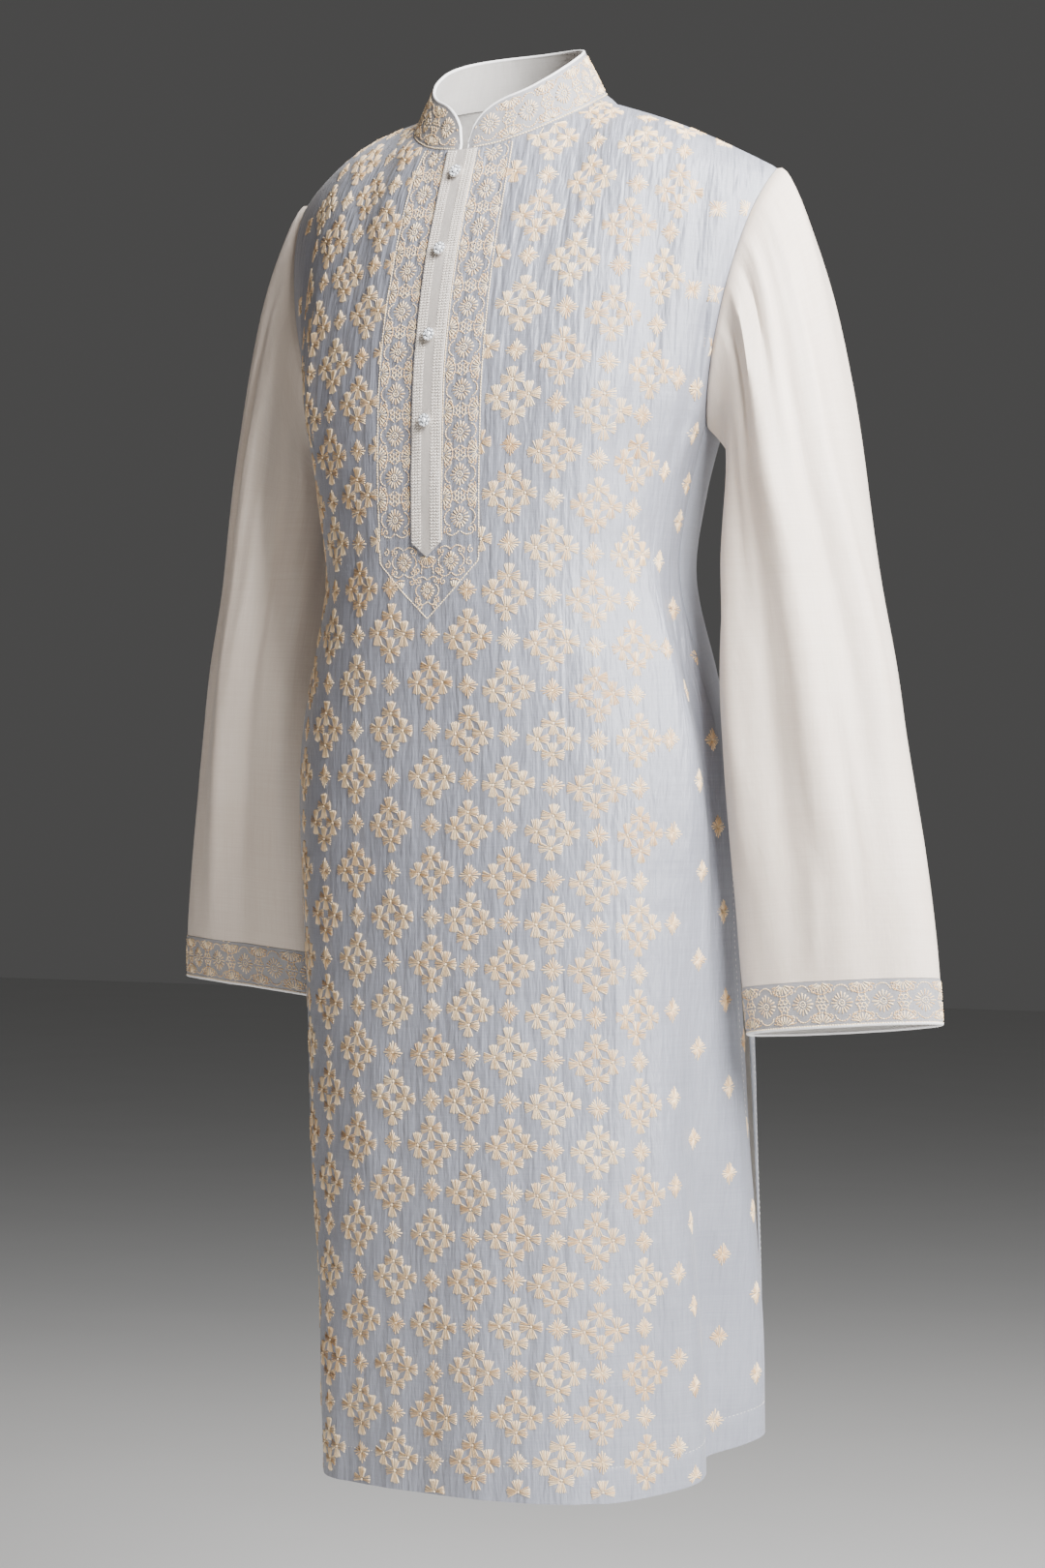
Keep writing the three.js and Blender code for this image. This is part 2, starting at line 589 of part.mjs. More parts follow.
// A solid of a geometry, and back.
const wasm = await Module();
wasm.setup();
function toSolid(geometry) {
  const bare = new THREE.BufferGeometry();
  bare.setAttribute("position", geometry.getAttribute("position"));
  if (geometry.getIndex()) bare.setIndex(geometry.getIndex());
  const merged = mergeVertices(bare, SAME_PLACE);
  const vertProperties = new Float32Array(merged.getAttribute("position").array);
  const triVerts = new Uint32Array(merged.getIndex().array);
  return new wasm.Manifold(new wasm.Mesh({ numProp: 3, vertProperties, triVerts }));
}
function fromSolid(solid) {
  const made = solid.getMesh();
  const geometry = new THREE.BufferGeometry();
  geometry.setAttribute("position", new THREE.BufferAttribute(new Float32Array(made.vertProperties), 3));
  geometry.setIndex(new THREE.BufferAttribute(new Uint32Array(made.triVerts), 1));
  return geometry;
}

// The front panel with the narrow opening that the placket covers, from the neckline down the middle.
function frontGeometry() {
  const top = panelPoint("front", 0, TOP_V).point.z + OPENING.past;
  const bottom = panelPoint("front", 0, OPENING.bottomV).point.z;
  const cut = new THREE.BoxGeometry(2 * OPENING.half, 2 * OPENING.depth, top - bottom);
  cut.translate(0, -OPENING.depth, (top + bottom) / 2);
  return fromSolid(toSolid(bodyPanel("front", FRONT_GRID)).subtract(toSolid(cut)));
}

// Looks
const CLOTH_LOOK = { roughness: 0.45, metalness: 0 };
const BODY_LOOK = { color: 0xe2e1e2, ...CLOTH_LOOK };
const SLEEVE_LOOK = { color: 0xe6e2db, ...CLOTH_LOOK };
const TRIM_LOOK = { color: 0xe6d9c4, ...CLOTH_LOOK };
const PLACKET_LOOK = { color: 0xe0d8cd, ...CLOTH_LOOK };
const STONE_LOOK = { color: 0xdfe6ea, roughness: 0.12, metalness: 0.2 };

const kurta = new THREE.Group();
function add(name, geometry, look) {
  const mesh = new THREE.Mesh(geometry, new THREE.MeshStandardMaterial(look));
  mesh.name = name;
  kurta.add(mesh);
  return mesh;
}

add("front_panel", frontGeometry(), BODY_LOOK);
add("back_panel", bodyPanel("back", BACK_GRID), BODY_LOOK);
for (const [side, sleeve] of Object.entries(SLEEVES)) {
  add(`sleeve_${side}`, sleeveGeometry(sleeve), SLEEVE_LOOK);
  add(`cuff_${side}`, cuffGeometry(sleeve), TRIM_LOOK);
}
add("collar", collarGeometry(), TRIM_LOOK);

const over = PLACKET_CLOTH + 2 * SEAM_GAP;
add("placket", placketGeometry(over), PLACKET_LOOK);

BUTTONS.drops.forEach((drop, i) => {
  const { point, normal } = panelPoint("front", 0, TOP_V - drop, over + SEAM_GAP);
  const button = add(`button_${i + 1}`, buttonGeometry(), STONE_LOOK);
  button.position.copy(point);
  button.quaternion.setFromUnitVectors(new THREE.Vector3(0, 0, 1), normal);
});

export default kurta;
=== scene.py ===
"""A long kurta with a stand collar, an embroidered front and full sleeves, dressed on its fixed frame.

The shapes are worked out in millimetres from the same sizes as the frame's panels, and each mesh is
written in metres. It faces -Y with +Z up, and the wearer's left is +X.
"""
import math

import bpy
import numpy as np
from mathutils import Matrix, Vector


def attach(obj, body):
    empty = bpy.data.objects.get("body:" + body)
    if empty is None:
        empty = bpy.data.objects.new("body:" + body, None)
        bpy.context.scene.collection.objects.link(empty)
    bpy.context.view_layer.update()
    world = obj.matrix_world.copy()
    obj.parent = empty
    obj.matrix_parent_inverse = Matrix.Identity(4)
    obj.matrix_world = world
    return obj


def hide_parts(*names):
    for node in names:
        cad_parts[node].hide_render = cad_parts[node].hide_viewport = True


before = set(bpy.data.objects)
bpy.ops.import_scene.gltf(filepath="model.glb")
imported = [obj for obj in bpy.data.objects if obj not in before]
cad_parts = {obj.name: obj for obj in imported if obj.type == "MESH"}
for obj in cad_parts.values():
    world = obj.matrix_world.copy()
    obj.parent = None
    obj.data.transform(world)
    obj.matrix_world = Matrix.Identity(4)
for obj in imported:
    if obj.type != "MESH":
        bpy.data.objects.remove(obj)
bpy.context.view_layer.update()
BODY_NAME = "root"
MM = 0.001

# Cloth as it is modelled here
CLOTH = 1.1
COLLAR_CLOTH = 2.0
CUFF_CLOTH = 1.8
PLACKET_CLOTH = 1.2
SEAM_GAP = 0.3

# Small steps for slopes and normals: as a share of a panel's half width or in degrees, and in length
STEP = 0.005
LENGTH_STEP = 0.5
SLOPE_SPAN = 20

# Heights of the body panels
HEM_Z = -1040
SLIT_TOP_Z = -585
ARMPIT_Z = -250
YOKE_RISE = 250
TOP_V = ARMPIT_Z + YOKE_RISE


def table(names, *rows):
    """A table of named columns, from its lowest row up."""
    ordered = sorted(rows)
    return {name: np.array([row[i] for row in ordered], float) for i, name in enumerate(names.split())}


# Cross-sections of the body: half width, y at the front, the back and the widest place, and how many
# degrees the front panel wraps past that place to the side seam
BODY = table(
    "z half front back middle wrap",
    (-1040, 168, -104, 190, 45, 33),
    (-950, 171, -105, 186, 42, 30),
    (-880, 173, -106, 176, 37, 26),
    (-800, 175, -107, 165, 30, 21),
    (-700, 177, -107, 155, 24, 16),
    (-620, 179, -108, 144, 18, 12),
    (-540, 179, -109, 132, 12, 9),
    (-480, 174, -109, 121, 8, 6),
    (-430, 162, -110, 111, 5, 4),
    (-360, 147, -110, 101, 3, 2),
    (-300, 156, -111, 100, 5, 1),
    (-250, 170, -110, 103, 8, 0),
)
BOXINESS = 0.05

# How much higher the hem is at the slit corners than at the middle, and how far the panel edges part there
HEM_RISE = {"left": 40, "right": 16, "from": 0.38}
SLIT = table("z part", (-1040, 5), (-900, 4.5), (-750, 4), (-640, 2.5), (-585, 0))

# Neckline, shoulders and the directions in which the panels leave the armpit level and reach the top
NECK = {"half": 78, "front": -62, "back": 64, "drop": 42, "rise": 11, "seam": 96, "share": 0.4, "blend": 0.8}
SHOULDER_TIP = {1: (215, 33, -62), -1: (217, 33, -53)}
SHOULDER_ARCH = {1: 5, -1: 9}
YOKES = {
    "front": {
        "arm_start": (60, -120, 150),
        "arm_end": (25, 120, 100),
        "neck_lift": 66,
        "seam_lift": 2,
        "neck_reach": 150,
        "seam_reach": 215,
    },
    "back": {
        "arm_start": (60, 170, 150),
        "arm_end": (25, -170, 100),
        "neck_lift": 84,
        "seam_lift": 4,
        "neck_reach": 150,
        "seam_reach": 232,
    },
}
FLAT_FROM = 0.52
NECK_TURN = {"from": 0.25, "to": 0.5}
ARM_SHARPNESS = 7
EASE = {"from_corner": 0.32, "reach": 0.19, "below_top": 45, "above": 60, "steps": 7, "spread": 1.15}

# Main folds of the body panels: place across, lean, spread, depth, and the heights between which each runs
FOLDS = {
    "front": (
        (0.6, -0.02, 0.07, 9, -1090, -640),
        (0.72, -0.02, 0.055, -15, -1090, -600),
        (0.87, 0.0, 0.07, 11, -1090, -620),
        (0.3, 0.05, 0.1, 4, -1090, -720),
        (-0.05, 0.02, 0.08, -3, -1090, -760),
        (-0.34, 0.03, 0.08, 4, -1090, -680),
        (-0.54, 0.04, 0.1, -7, -1090, -800),
        (-0.8, 0.02, 0.07, 6, -1090, -700),
        (0.7, 0.12, 0.075, 6, -640, -320),
        (0.86, 0.06, 0.06, -5, -620, -320),
        (0.6, 0.13, 0.09, -4, -370, -50),
        (0.75, 0.12, 0.07, 3.5, -350, -60),
        (-0.66, -0.08, 0.06, -4, -330, -80),
    ),
    "back": (
        (0.7, 0.05, 0.09, 8, -1090, -560),
        (0.45, -0.03, 0.09, -9, -1090, -600),
        (0.16, 0.04, 0.1, 8, -1090, -520),
        (-0.14, -0.05, 0.09, -8, -1090, -540),
        (-0.44, 0.04, 0.1, 9, -1090, -580),
        (-0.74, -0.03, 0.08, -7, -1090, -620),
        (0.3, 0.1, 0.08, 5, -470, -230),
        (-0.32, -0.1, 0.08, 5, -480, -240),
    ),
}

# Smaller creases of the same panels, in the same columns
CREASES = {
    "front": (
        (0.44, 0.06, 0.025, 1.6, -900, -560),
        (0.5, 0.05, 0.022, -1.4, -860, -600),
        (0.79, 0.02, 0.02, 2.2, -700, -480),
        (0.83, 0.02, 0.018, -2.0, -690, -500),
        (0.93, -0.01, 0.02, 2.0, -980, -560),
        (0.53, 0.1, 0.03, 1.1, -300, -120),
        (0.58, 0.1, 0.028, -1.1, -290, -130),
        (0.66, 0.12, 0.03, 1.3, -300, -110),
        (0.78, 0.08, 0.03, -1.3, -280, -90),
        (0.84, 0.06, 0.026, 1.2, -260, -110),
        (0.8, 0.14, 0.035, -3.2, -310, -130),
        (0.87, 0.12, 0.04, 3.6, -300, -110),
        (0.92, 0.02, 0.035, 3.0, -180, -50),
        (0.84, 0.0, 0.03, -2.4, -170, -40),
        (-0.48, -0.05, 0.02, 1.5, -300, -130),
        (-0.56, -0.06, 0.02, -1.6, -310, -120),
        (-0.62, 0.02, 0.022, 1.6, -620, -330),
        (-0.72, 0.02, 0.02, -1.8, -660, -360),
        (-0.28, 0.02, 0.02, 1.2, -1090, -760),
        (-0.16, 0.03, 0.02, -1.2, -1090, -820),
        (0.12, 0.03, 0.022, 1.3, -1090, -780),
        (0.22, 0.02, 0.02, -1.2, -1000, -700),
        (0.36, 0.0, 0.02, -1.6, -1090, -860),
    ),
    "back": (
        (0.02, 0.03, 0.03, 2.2, -700, -380),
        (0.1, -0.04, 0.03, -2.0, -760, -400),
        (0.56, 0.06, 0.03, 2.4, -620, -330),
        (0.62, 0.05, 0.025, -2.2, -600, -350),
        (-0.2, -0.05, 0.03, 2.0, -680, -360),
        (-0.52, -0.06, 0.03, -2.4, -640, -320),
        (-0.6, -0.05, 0.025, 2.2, -620, -340),
        (0.42, 0.14, 0.03, 2.0, -230, -60),
        (-0.44, -0.14, 0.03, 2.0, -230, -60),
        (0.3, 0.02, 0.03, 2.0, -1090, -820),
        (-0.3, 0.03, 0.03, -2.2, -1090, -800),
        (0.86, 0.02, 0.03, -2.4, -1090, -760),
        (-0.88, 0.0, 0.03, 2.4, -1090, -740),
    ),
}
FADE = {"open": 0.8, "end": 0.35, "cap": 0.25}

# Cross-sections of the sleeves below the armpit: centre, half sizes across and through, and turn in degrees
SLEEVE_ROWS = {
    "left": table(
        "z x y wide thick turn",
        (-300, 235, 31, 50, 56, 4),
        (-360, 240, 26, 57, 50, 12),
        (-430, 248, 21, 65, 43, 17),
        (-500, 256, 20, 69, 36, 17),
        (-570, 264, 22, 72, 31, 16),
        (-640, 270, 26, 74, 27, 14),
        (-694, 273, 30, 74, 24, 12),
    ),
    "right": table(
        "z x y wide thick turn",
        (-300, 224, 31, 49, 56, 4),
        (-360, 228, 26, 56, 50, 12),
        (-430, 240, 21, 63, 43, 17),
        (-500, 252, 20, 67, 36, 17),
        (-570, 262, 22, 71, 31, 16),
        (-640, 269, 26, 74, 27, 14),
        (-676, 272, 30, 74, 24, 12),
    ),
}
SLEEVE_SIDE = {"left": 1, "right": -1}
SLEEVE_END = {"left": -694, "right": -676}
SLEEVE_TOP_Z = -300
SLEEVE_SPAN = 10
CUFF_HEIGHT = 33
CUFF_LIFT = (CUFF_CLOTH - CLOTH) / 2
CUFF_TILT = {"across": 0.1, "through": -0.12}
ARMHOLE_OUT = np.array((188, 0, -45)) / math.hypot(188, 45)
CAP_START = {"out": 90, "down": 10, "forward": 14}
UNDER_START = {"out": 46, "down": 58}
CAP_REACH = {"top": 150, "under": 60}
CAP_ROLL = {"rise": 1.5, "at": 7, "length": 0.3}

# Soft unevenness: height, width and length of the bumps and a seed
BODY_RIPPLES = ((1.3, 62, 190, 11), (0.5, 26, 110, 12))
SLEEVE_RIPPLES = ((0.7, 24, 85, 21), (0.3, 11, 40, 22))
COLLAR_RIPPLE = (0.35, 30, 12, 31)
SLEEVE_CHART = {"radius": 60, "left": 500}
CALM_BELOW_TOP = 30

# Folds of a sleeve: angle round it from the shoulder over the front, lean, spread, depth, bottom and top
SLEEVE_FOLDS = (
    (28, 8, 9, 4, -560, -40),
    (52, 6, 9, -4, -600, -60),
    (78, 10, 10, 5, -700, -110),
    (108, 4, 10, -4, -720, -150),
    (140, 6, 12, 5, -620, -200),
    (215, -6, 12, 4, -640, -200),
    (250, -5, 11, -5, -720, -150),
    (285, -8, 11, 5, -700, -110),
    (325, -6, 10, -4, -560, -50),
)
SLEEVE_CREASES = {
    "left": (
        (18, 4, 4, 1.2, -200, -70),
        (58, 5, 4, 2.8, -230, -45),
        (72, 6, 4.5, -3.0, -250, -50),
        (88, 6, 5, 3.4, -280, -60),
        (106, 5, 5, -3.2, -300, -80),
        (36, 5, 4, -1.3, -260, -80),
        (60, 6, 5, 1.6, -330, -120),
        (66, 3, 3, -1.2, -640, -420),
        (88, 4, 4, 1.3, -610, -330),
        (98, -5, 4, 1.4, -660, -560),
        (122, 7, 5, -1.8, -420, -230),
        (152, 6, 5, 1.8, -400, -240),
        (340, -4, 5, 1.2, -300, -90),
        (300, -6, 5, -1.6, -420, -160),
        (268, -5, 5, 1.6, -560, -260),
        (232, -6, 5, 1.8, -430, -230),
    ),
    "right": (
        (20, 4, 4, 1.4, -260, -80),
        (42, 6, 4, 1.8, -380, -120),
        (58, 6, 3.5, -1.8, -420, -150),
        (70, 7, 3.5, 2.2, -460, -170),
        (84, 6, 3.5, -2.0, -500, -190),
        (96, 5, 4, 2.2, -430, -200),
        (112, 6, 4, -1.8, -470, -230),
        (134, 5, 4, 2.0, -420, -230),
        (160, 3, 4, -1.8, -380, -240),
        (338, -4, 5, 1.4, -300, -90),
        (305, -6, 5, -1.8, -430, -160),
        (270, -5, 5, 1.8, -560, -260),
        (236, -6, 5, 1.8, -430, -230),
    ),
}

# Collar, placket and buttons
COLLAR = {"height": 34, "front_lean": 8, "lean": 17, "front_angle": 2.8, "bend": 0.25}
COLLAR_CHART = {"height": 20, "calm": 3}
COLLAR_END = {"corner": 30, "height": 5}
COLLAR_GAP = 0.3
PLACKET = {"half": 13, "bottom": -348, "tip": 10, "top_drop": 1.2}
PLACKET_LIFT = PLACKET_CLOTH + 2 * SEAM_GAP
OPENING = {"half": 0.6, "bottom": -330}
BUTTONS = {"drops": (30.5, 111, 183, 248), "radius": 5.6, "height": 4.6}

# Hem allowance, seam dips and the soft puckers that the needlework draws into the front
HEM_DEPTH = 26
HEM_LINE = {"dip": 0.35, "spread": 1.4}
SEAM_DIP = {"depth": 0.7, "spread": 3.0}
SLIT_HEM = 0.04
PUCKER_EDGE = {"from": 195, "over": 70, "least": 0.1}
PUCKERS = {"ridge": (0.75, 19, 42, 13), "groove": (0.6, 12, 26, 14), "lean": 0.2}
PUCKER_SHARE = (0.6, 0.6, 46, 70, 15)

# Mesh counts
FRONT_GRID = {"across": 150, "low": 164, "yoke": 60}
BACK_GRID = {"across": 96, "low": 120, "yoke": 44}
SLEEVE_GRID = {"round": 112, "cap": 26, "low": 84}
COLLAR_GRID = {"round": 180, "up": 12}
CUFF_ROWS = 10
PLACKET_MARKS = 60
RING_MARKS = 361
PLACKET_GRID = {"across": 8, "along": 110}
FLAT_GRID = {"across": 49, "along": 61}


def smooth(s):
    """A share from 0 to 1, eased at both ends."""
    c = np.clip(s, 0, 1)
    return c * c * (3 - 2 * c)


def mix(a, b, s):
    """The value a share s of the way from a to b."""
    return a + (b - a) * s


def vec(x, y, z):
    """Points or directions from arrays of coordinates."""
    return np.stack(np.broadcast_arrays(x, y, z), axis=-1).astype(float)


def unit(v):
    """Directions of length 1."""
    return v / np.maximum(np.linalg.norm(v, axis=-1, keepdims=True), 1e-9)


def column(rows, name, z):
    """The value of a named column at height z, on a smooth curve through the table's rows."""
    heights = rows["z"]
    values = rows[name]
    last = len(heights) - 1
    places = np.arange(last + 1)
    before = np.maximum(places - 1, 0)
    after = np.minimum(places + 1, last)
    slopes = (values[after] - values[before]) / (heights[after] - heights[before])
    c = np.clip(z, heights[0], heights[-1])
    i = np.clip(np.searchsorted(heights, c, side="left") - 1, 0, last - 1)
    span = heights[i + 1] - heights[i]
    s = (c - heights[i]) / span
    s2 = s * s
    s3 = s2 * s
    return (
        (2 * s3 - 3 * s2 + 1) * values[i]
        + (s3 - 2 * s2 + s) * span * slopes[i]
        + (3 * s2 - 2 * s3) * values[i + 1]
        + (s3 - s2) * span * slopes[i + 1]
    )


def hermite(p0, t0, p1, t1, w):
    """A point on a curve from p0 to p1 that leaves along t0 and arrives along t1."""
    w = w[..., None]
    w2 = w * w
    w3 = w2 * w
    return p0 * (2 * w3 - 3 * w2 + 1) + t0 * (w3 - 2 * w2 + w) + p1 * (3 * w2 - 2 * w3) + t1 * (w3 - w2)


def ripple(x, y, wide, tall, seed):
    """Smooth random heights from -1 to 1, in bumps of a given width across and length along."""
    cells = 128
    heights = np.random.default_rng(seed).uniform(-1, 1, (cells, cells))
    u = np.asarray(x) / wide + cells
    v = np.asarray(y) / tall + cells
    i = np.floor(u).astype(int)
    j = np.floor(v).astype(int)
    fu = smooth(u - i)
    fv = smooth(v - j)
    i0, i1 = i % cells, (i + 1) % cells
    j0, j1 = j % cells, (j + 1) % cells
    low = mix(heights[i0, j0], heights[i1, j0], fu)
    high = mix(heights[i0, j1], heights[i1, j1], fu)
    return mix(low, high, fv)


def trough_sum(troughs, across, along, open_below):
    """Height of a table of folds at places given across and along a piece."""
    height = np.zeros(np.broadcast(across, along).shape)
    for place, lean, spread, depth, bottom, top in troughs:
        s = (along - bottom) / (top - bottom)
        off = (across - place - lean * s) / spread
        inside = (s >= 0) & (s <= 1)
        if bottom < open_below:
            fade = smooth((1 - s) / FADE["open"])
        else:
            fade = smooth(s / FADE["end"]) * smooth((1 - s) / FADE["end"])
        height = height + np.where(inside, depth * np.exp(-off * off) * fade, 0)
    return height


def section_point(panel, t, z):
    """A point of the body below the armpits."""
    half = column(BODY, "half", z)
    middle = column(BODY, "middle", z)
    wrap = column(BODY, "wrap", z)
    part = np.where(z < SLIT_TOP_Z, column(SLIT, "part", z), 0)
    front = panel == "front"
    turned = t * (90 - part + (wrap if front else -wrap))
    angle = np.radians(turned if front else 180 - turned)
    reach = np.where(np.cos(angle) > 0, column(BODY, "front", z), column(BODY, "back", z)) - middle
    boxy = 1 + BOXINESS * np.sin(2 * angle) ** 2
    rise = np.where(t > 0, HEM_RISE["left"], HEM_RISE["right"])
    low = np.maximum(0, (SLIT_TOP_Z - z) / (SLIT_TOP_Z - HEM_Z))
    lift = rise * low * smooth((np.abs(t) - HEM_RISE["from"]) / (1 - HEM_RISE["from"]))
    return vec(half * np.sin(angle) * boxy, middle + reach * np.abs(np.cos(angle)) * boxy, z + lift)


def neckline_point(angle):
    """The neckline at an angle round the neck: 0 at the front and 90 at the wearer's left."""
    a = np.radians(angle)
    c = np.cos(a)
    depth = np.where(c > 0, -NECK["front"], NECK["back"])
    z = -NECK["drop"] * ((1 + c) / 2) ** 2 + NECK["rise"] * ((1 - c) / 2)
    return vec(NECK["half"] * np.sin(a), -depth * c, z)


def top_point(panel, t):
    """The top edge of a panel: its half of the neckline, then the shoulder seam."""
    across = np.abs(t)
    start = 0 if panel == "front" else 180
    neck = neckline_point(mix(start, NECK["seam"], np.minimum(across / NECK["share"], 1)))
    s = np.clip((across - NECK["share"]) / (1 - NECK["share"]), 0, 1)
    left = t > 0
    tip = np.where(left[..., None], np.array(SHOULDER_TIP[1]), np.array(SHOULDER_TIP[-1]))
    point = mix(neck, tip, s[..., None])
    point[..., 2] += np.where(left, SHOULDER_ARCH[1], SHOULDER_ARCH[-1]) * np.sin(np.pi * s)
    point[..., 0] *= np.where(t < 0, -1, 1)
    return point


def plain_point(panel, t, v):
    """A point of a body panel without its folds."""
    t, v = np.broadcast_arrays(np.asarray(t, float), np.asarray(v, float))
    yoke = YOKES[panel]
    back = 1 if panel == "front" else -1
    armpit = np.full(t.shape, float(ARMPIT_Z))
    p0 = section_point(panel, t, armpit)
    start = (p0 - section_point(panel, t, armpit - SLOPE_SPAN)) * (YOKE_RISE / SLOPE_SPAN)
    mirror = vec(np.where(t < 0, -1, 1), 1, 1)
    arm = (np.abs(t) ** ARM_SHARPNESS)[..., None]
    start = mix(start, np.array(yoke["arm_start"]) * mirror, arm)
    s = smooth(np.abs(t) / FLAT_FROM)
    lift = np.radians(mix(yoke["neck_lift"], yoke["seam_lift"], s))
    reach = mix(yoke["neck_reach"], yoke["seam_reach"], s)
    full = NECK["seam"] if back > 0 else 180 - NECK["seam"]
    straight = smooth((np.abs(t) - NECK_TURN["from"]) / (NECK_TURN["to"] - NECK_TURN["from"]))
    turn = np.radians(np.minimum(1, np.abs(t) / NECK["share"]) * full * (1 - straight))
    level = np.cos(lift) * reach
    end = vec(-np.sign(t) * np.sin(turn) * level, back * np.cos(turn) * level, np.sin(lift) * reach)
    end = mix(end, np.array(yoke["arm_end"]) * mirror, arm)
    upper = hermite(p0, start, top_point(panel, t), end, (v - ARMPIT_Z) / YOKE_RISE)
    lower = section_point(panel, t, np.minimum(v, ARMPIT_Z))
    return np.where((v <= ARMPIT_Z)[..., None], lower, upper)


def eased_point(panel, t, v):
    """The same point with the panel drawn smooth below the corner of the neck."""
    t, v = np.broadcast_arrays(np.asarray(t, float), np.asarray(v, float))
    near = smooth(1 - np.abs(np.abs(t) - NECK["share"]) / EASE["from_corner"])
    low = smooth((v - ARMPIT_Z) / EASE["above"])
    reach = EASE["reach"] * near * smooth((TOP_V - v) / EASE["below_top"]) * low
    steps = np.linspace(-1, 1, EASE["steps"])
    weights = EASE["spread"] - steps * steps
    points = sum(w * plain_point(panel, t + reach * s, v) for s, w in zip(steps, weights))
    return points / weights.sum()


def normal_of(surface, a, b, a_range, b_range, outward):
    """Outward normal of a surface given as a function of two numbers."""
    a0 = np.maximum(a_range[0], a - STEP)
    a1 = np.minimum(a_range[1], a + STEP)
    b0 = np.maximum(b_range[0], b - LENGTH_STEP)
    b1 = np.minimum(b_range[1], b + LENGTH_STEP)
    across = surface(a1, b) - surface(a0, b)
    along = surface(a, b1) - surface(a, b0)
    return unit(np.cross(across, along)) * outward


def panel_surface(panel, t, v, height, lift=0.0):
    """Points of a body panel raised by a height function, and their outward normals."""
    t, v = np.broadcast_arrays(np.asarray(t, float), np.asarray(v, float))
    outward = 1 if panel == "front" else -1
    ranges = ((-1, 1), (HEM_Z, TOP_V))

    def plain(a, b):
        return eased_point(panel, a, b)

    n0 = normal_of(plain, t, v, *ranges, outward)

    def raised(a, b):
        return plain(a, b) + n0 * height(panel, a, b)[..., None]

    normal = normal_of(raised, t, v, *ranges, outward)
    return raised(t, v) + normal * lift, normal


def main_folds(panel, t, v):
    """Height of the large folds alone, which the solids have too."""
    return trough_sum(FOLDS[panel], t, v, HEM_Z)


class FlatCut:
    """The flat cut of a body panel: where each place of the panel lies on the cloth before it is sewn.

    The cut is found by laying a net of the panel's own lengths flat, with its middle line kept straight.
    """

    LAYS = 1400
    PULL = 0.9

    def __init__(self, panel):
        self.t = np.linspace(-1, 1, FLAT_GRID["across"])
        self.v = np.linspace(HEM_Z, TOP_V, FLAT_GRID["along"])
        t, v = np.meshgrid(self.t, self.v, indexing="ij")
        points, _ = panel_surface(panel, t, v, main_folds)
        middle = FLAT_GRID["across"] // 2
        across = np.linalg.norm(np.diff(points, axis=0), axis=-1)
        along = np.linalg.norm(np.diff(points, axis=1), axis=-1)
        x = np.concatenate([np.zeros((1, len(self.v))), np.cumsum(across, axis=0)])
        x -= x[middle]
        y = np.concatenate([[0], np.cumsum(along[middle])])
        flat = np.stack([x, np.broadcast_to(y - y[-1], x.shape)], axis=-1)
        self.flat = self.laid_flat(points, flat, middle)

    def laid_flat(self, points, flat, middle):
        pairs = (
            (np.s_[:-1, :], np.s_[1:, :]),
            (np.s_[:, :-1], np.s_[:, 1:]),
            (np.s_[:-1, :-1], np.s_[1:, 1:]),
            (np.s_[:-1, 1:], np.s_[1:, :-1]),
        )
        lengths = [np.linalg.norm(points[b] - points[a], axis=-1) for a, b in pairs]
        ties = np.zeros(flat.shape[:2] + (1,))
        for a, b in pairs:
            ties[a] += 1
            ties[b] += 1
        held = flat[middle].copy()
        for _ in range(self.LAYS):
            pull = np.zeros_like(flat)
            for (a, b), length in zip(pairs, lengths):
                step = flat[b] - flat[a]
                now = np.linalg.norm(step, axis=-1)
                move = step * (0.5 * (now - length) / np.maximum(now, 1e-6))[..., None]
                pull[a] += move
                pull[b] -= move
            flat = flat + pull / ties * (1 + self.PULL)
            flat[middle] = held
        return flat

    def at(self, t, v):
        """Flat place of a point of the panel."""
        i = (np.asarray(t) - self.t[0]) / (self.t[1] - self.t[0])
        j = (np.asarray(v) - self.v[0]) / (self.v[1] - self.v[0])
        i0 = np.clip(np.floor(i).astype(int), 0, len(self.t) - 2)
        j0 = np.clip(np.floor(j).astype(int), 0, len(self.v) - 2)
        fi = (i - i0)[..., None]
        fj = (j - j0)[..., None]
        low = mix(self.flat[i0, j0], self.flat[i0 + 1, j0], fi)
        high = mix(self.flat[i0, j0 + 1], self.flat[i0 + 1, j0 + 1], fi)
        return mix(low, high, fj)

    def find(self, x, y):
        """Place on the panel of a flat point."""
        rounds = 30
        t_step, v_step = 0.01, 4.0
        t_most, v_most = 0.1, 40
        t = np.clip(x / self.flat[-1, 0, 0], -1, 1)
        v = np.clip(np.interp(y, self.flat[len(self.t) // 2, :, 1], self.v), HEM_Z, TOP_V)
        for _ in range(rounds):
            here = self.at(t, v)
            by_t = (self.at(t + t_step, v) - self.at(t - t_step, v)) / (2 * t_step)
            by_v = (self.at(t, v + v_step) - self.at(t, v - v_step)) / (2 * v_step)
            miss = np.stack([x, y], axis=-1) - here
            area = by_t[..., 0] * by_v[..., 1] - by_t[..., 1] * by_v[..., 0]
            area = np.where(np.abs(area) < 1, 1, area)
            t_move = (miss[..., 0] * by_v[..., 1] - miss[..., 1] * by_v[..., 0]) / area
            v_move = (by_t[..., 0] * miss[..., 1] - by_t[..., 1] * miss[..., 0]) / area
            t = np.clip(t + np.clip(t_move, -t_most, t_most), -1 - t_most, 1 + t_most)
            v = np.clip(v + np.clip(v_move, -v_most, v_most), HEM_Z - v_most, TOP_V + v_most)
        return t, v


FLAT = {panel: FlatCut(panel) for panel in ("front", "back")}


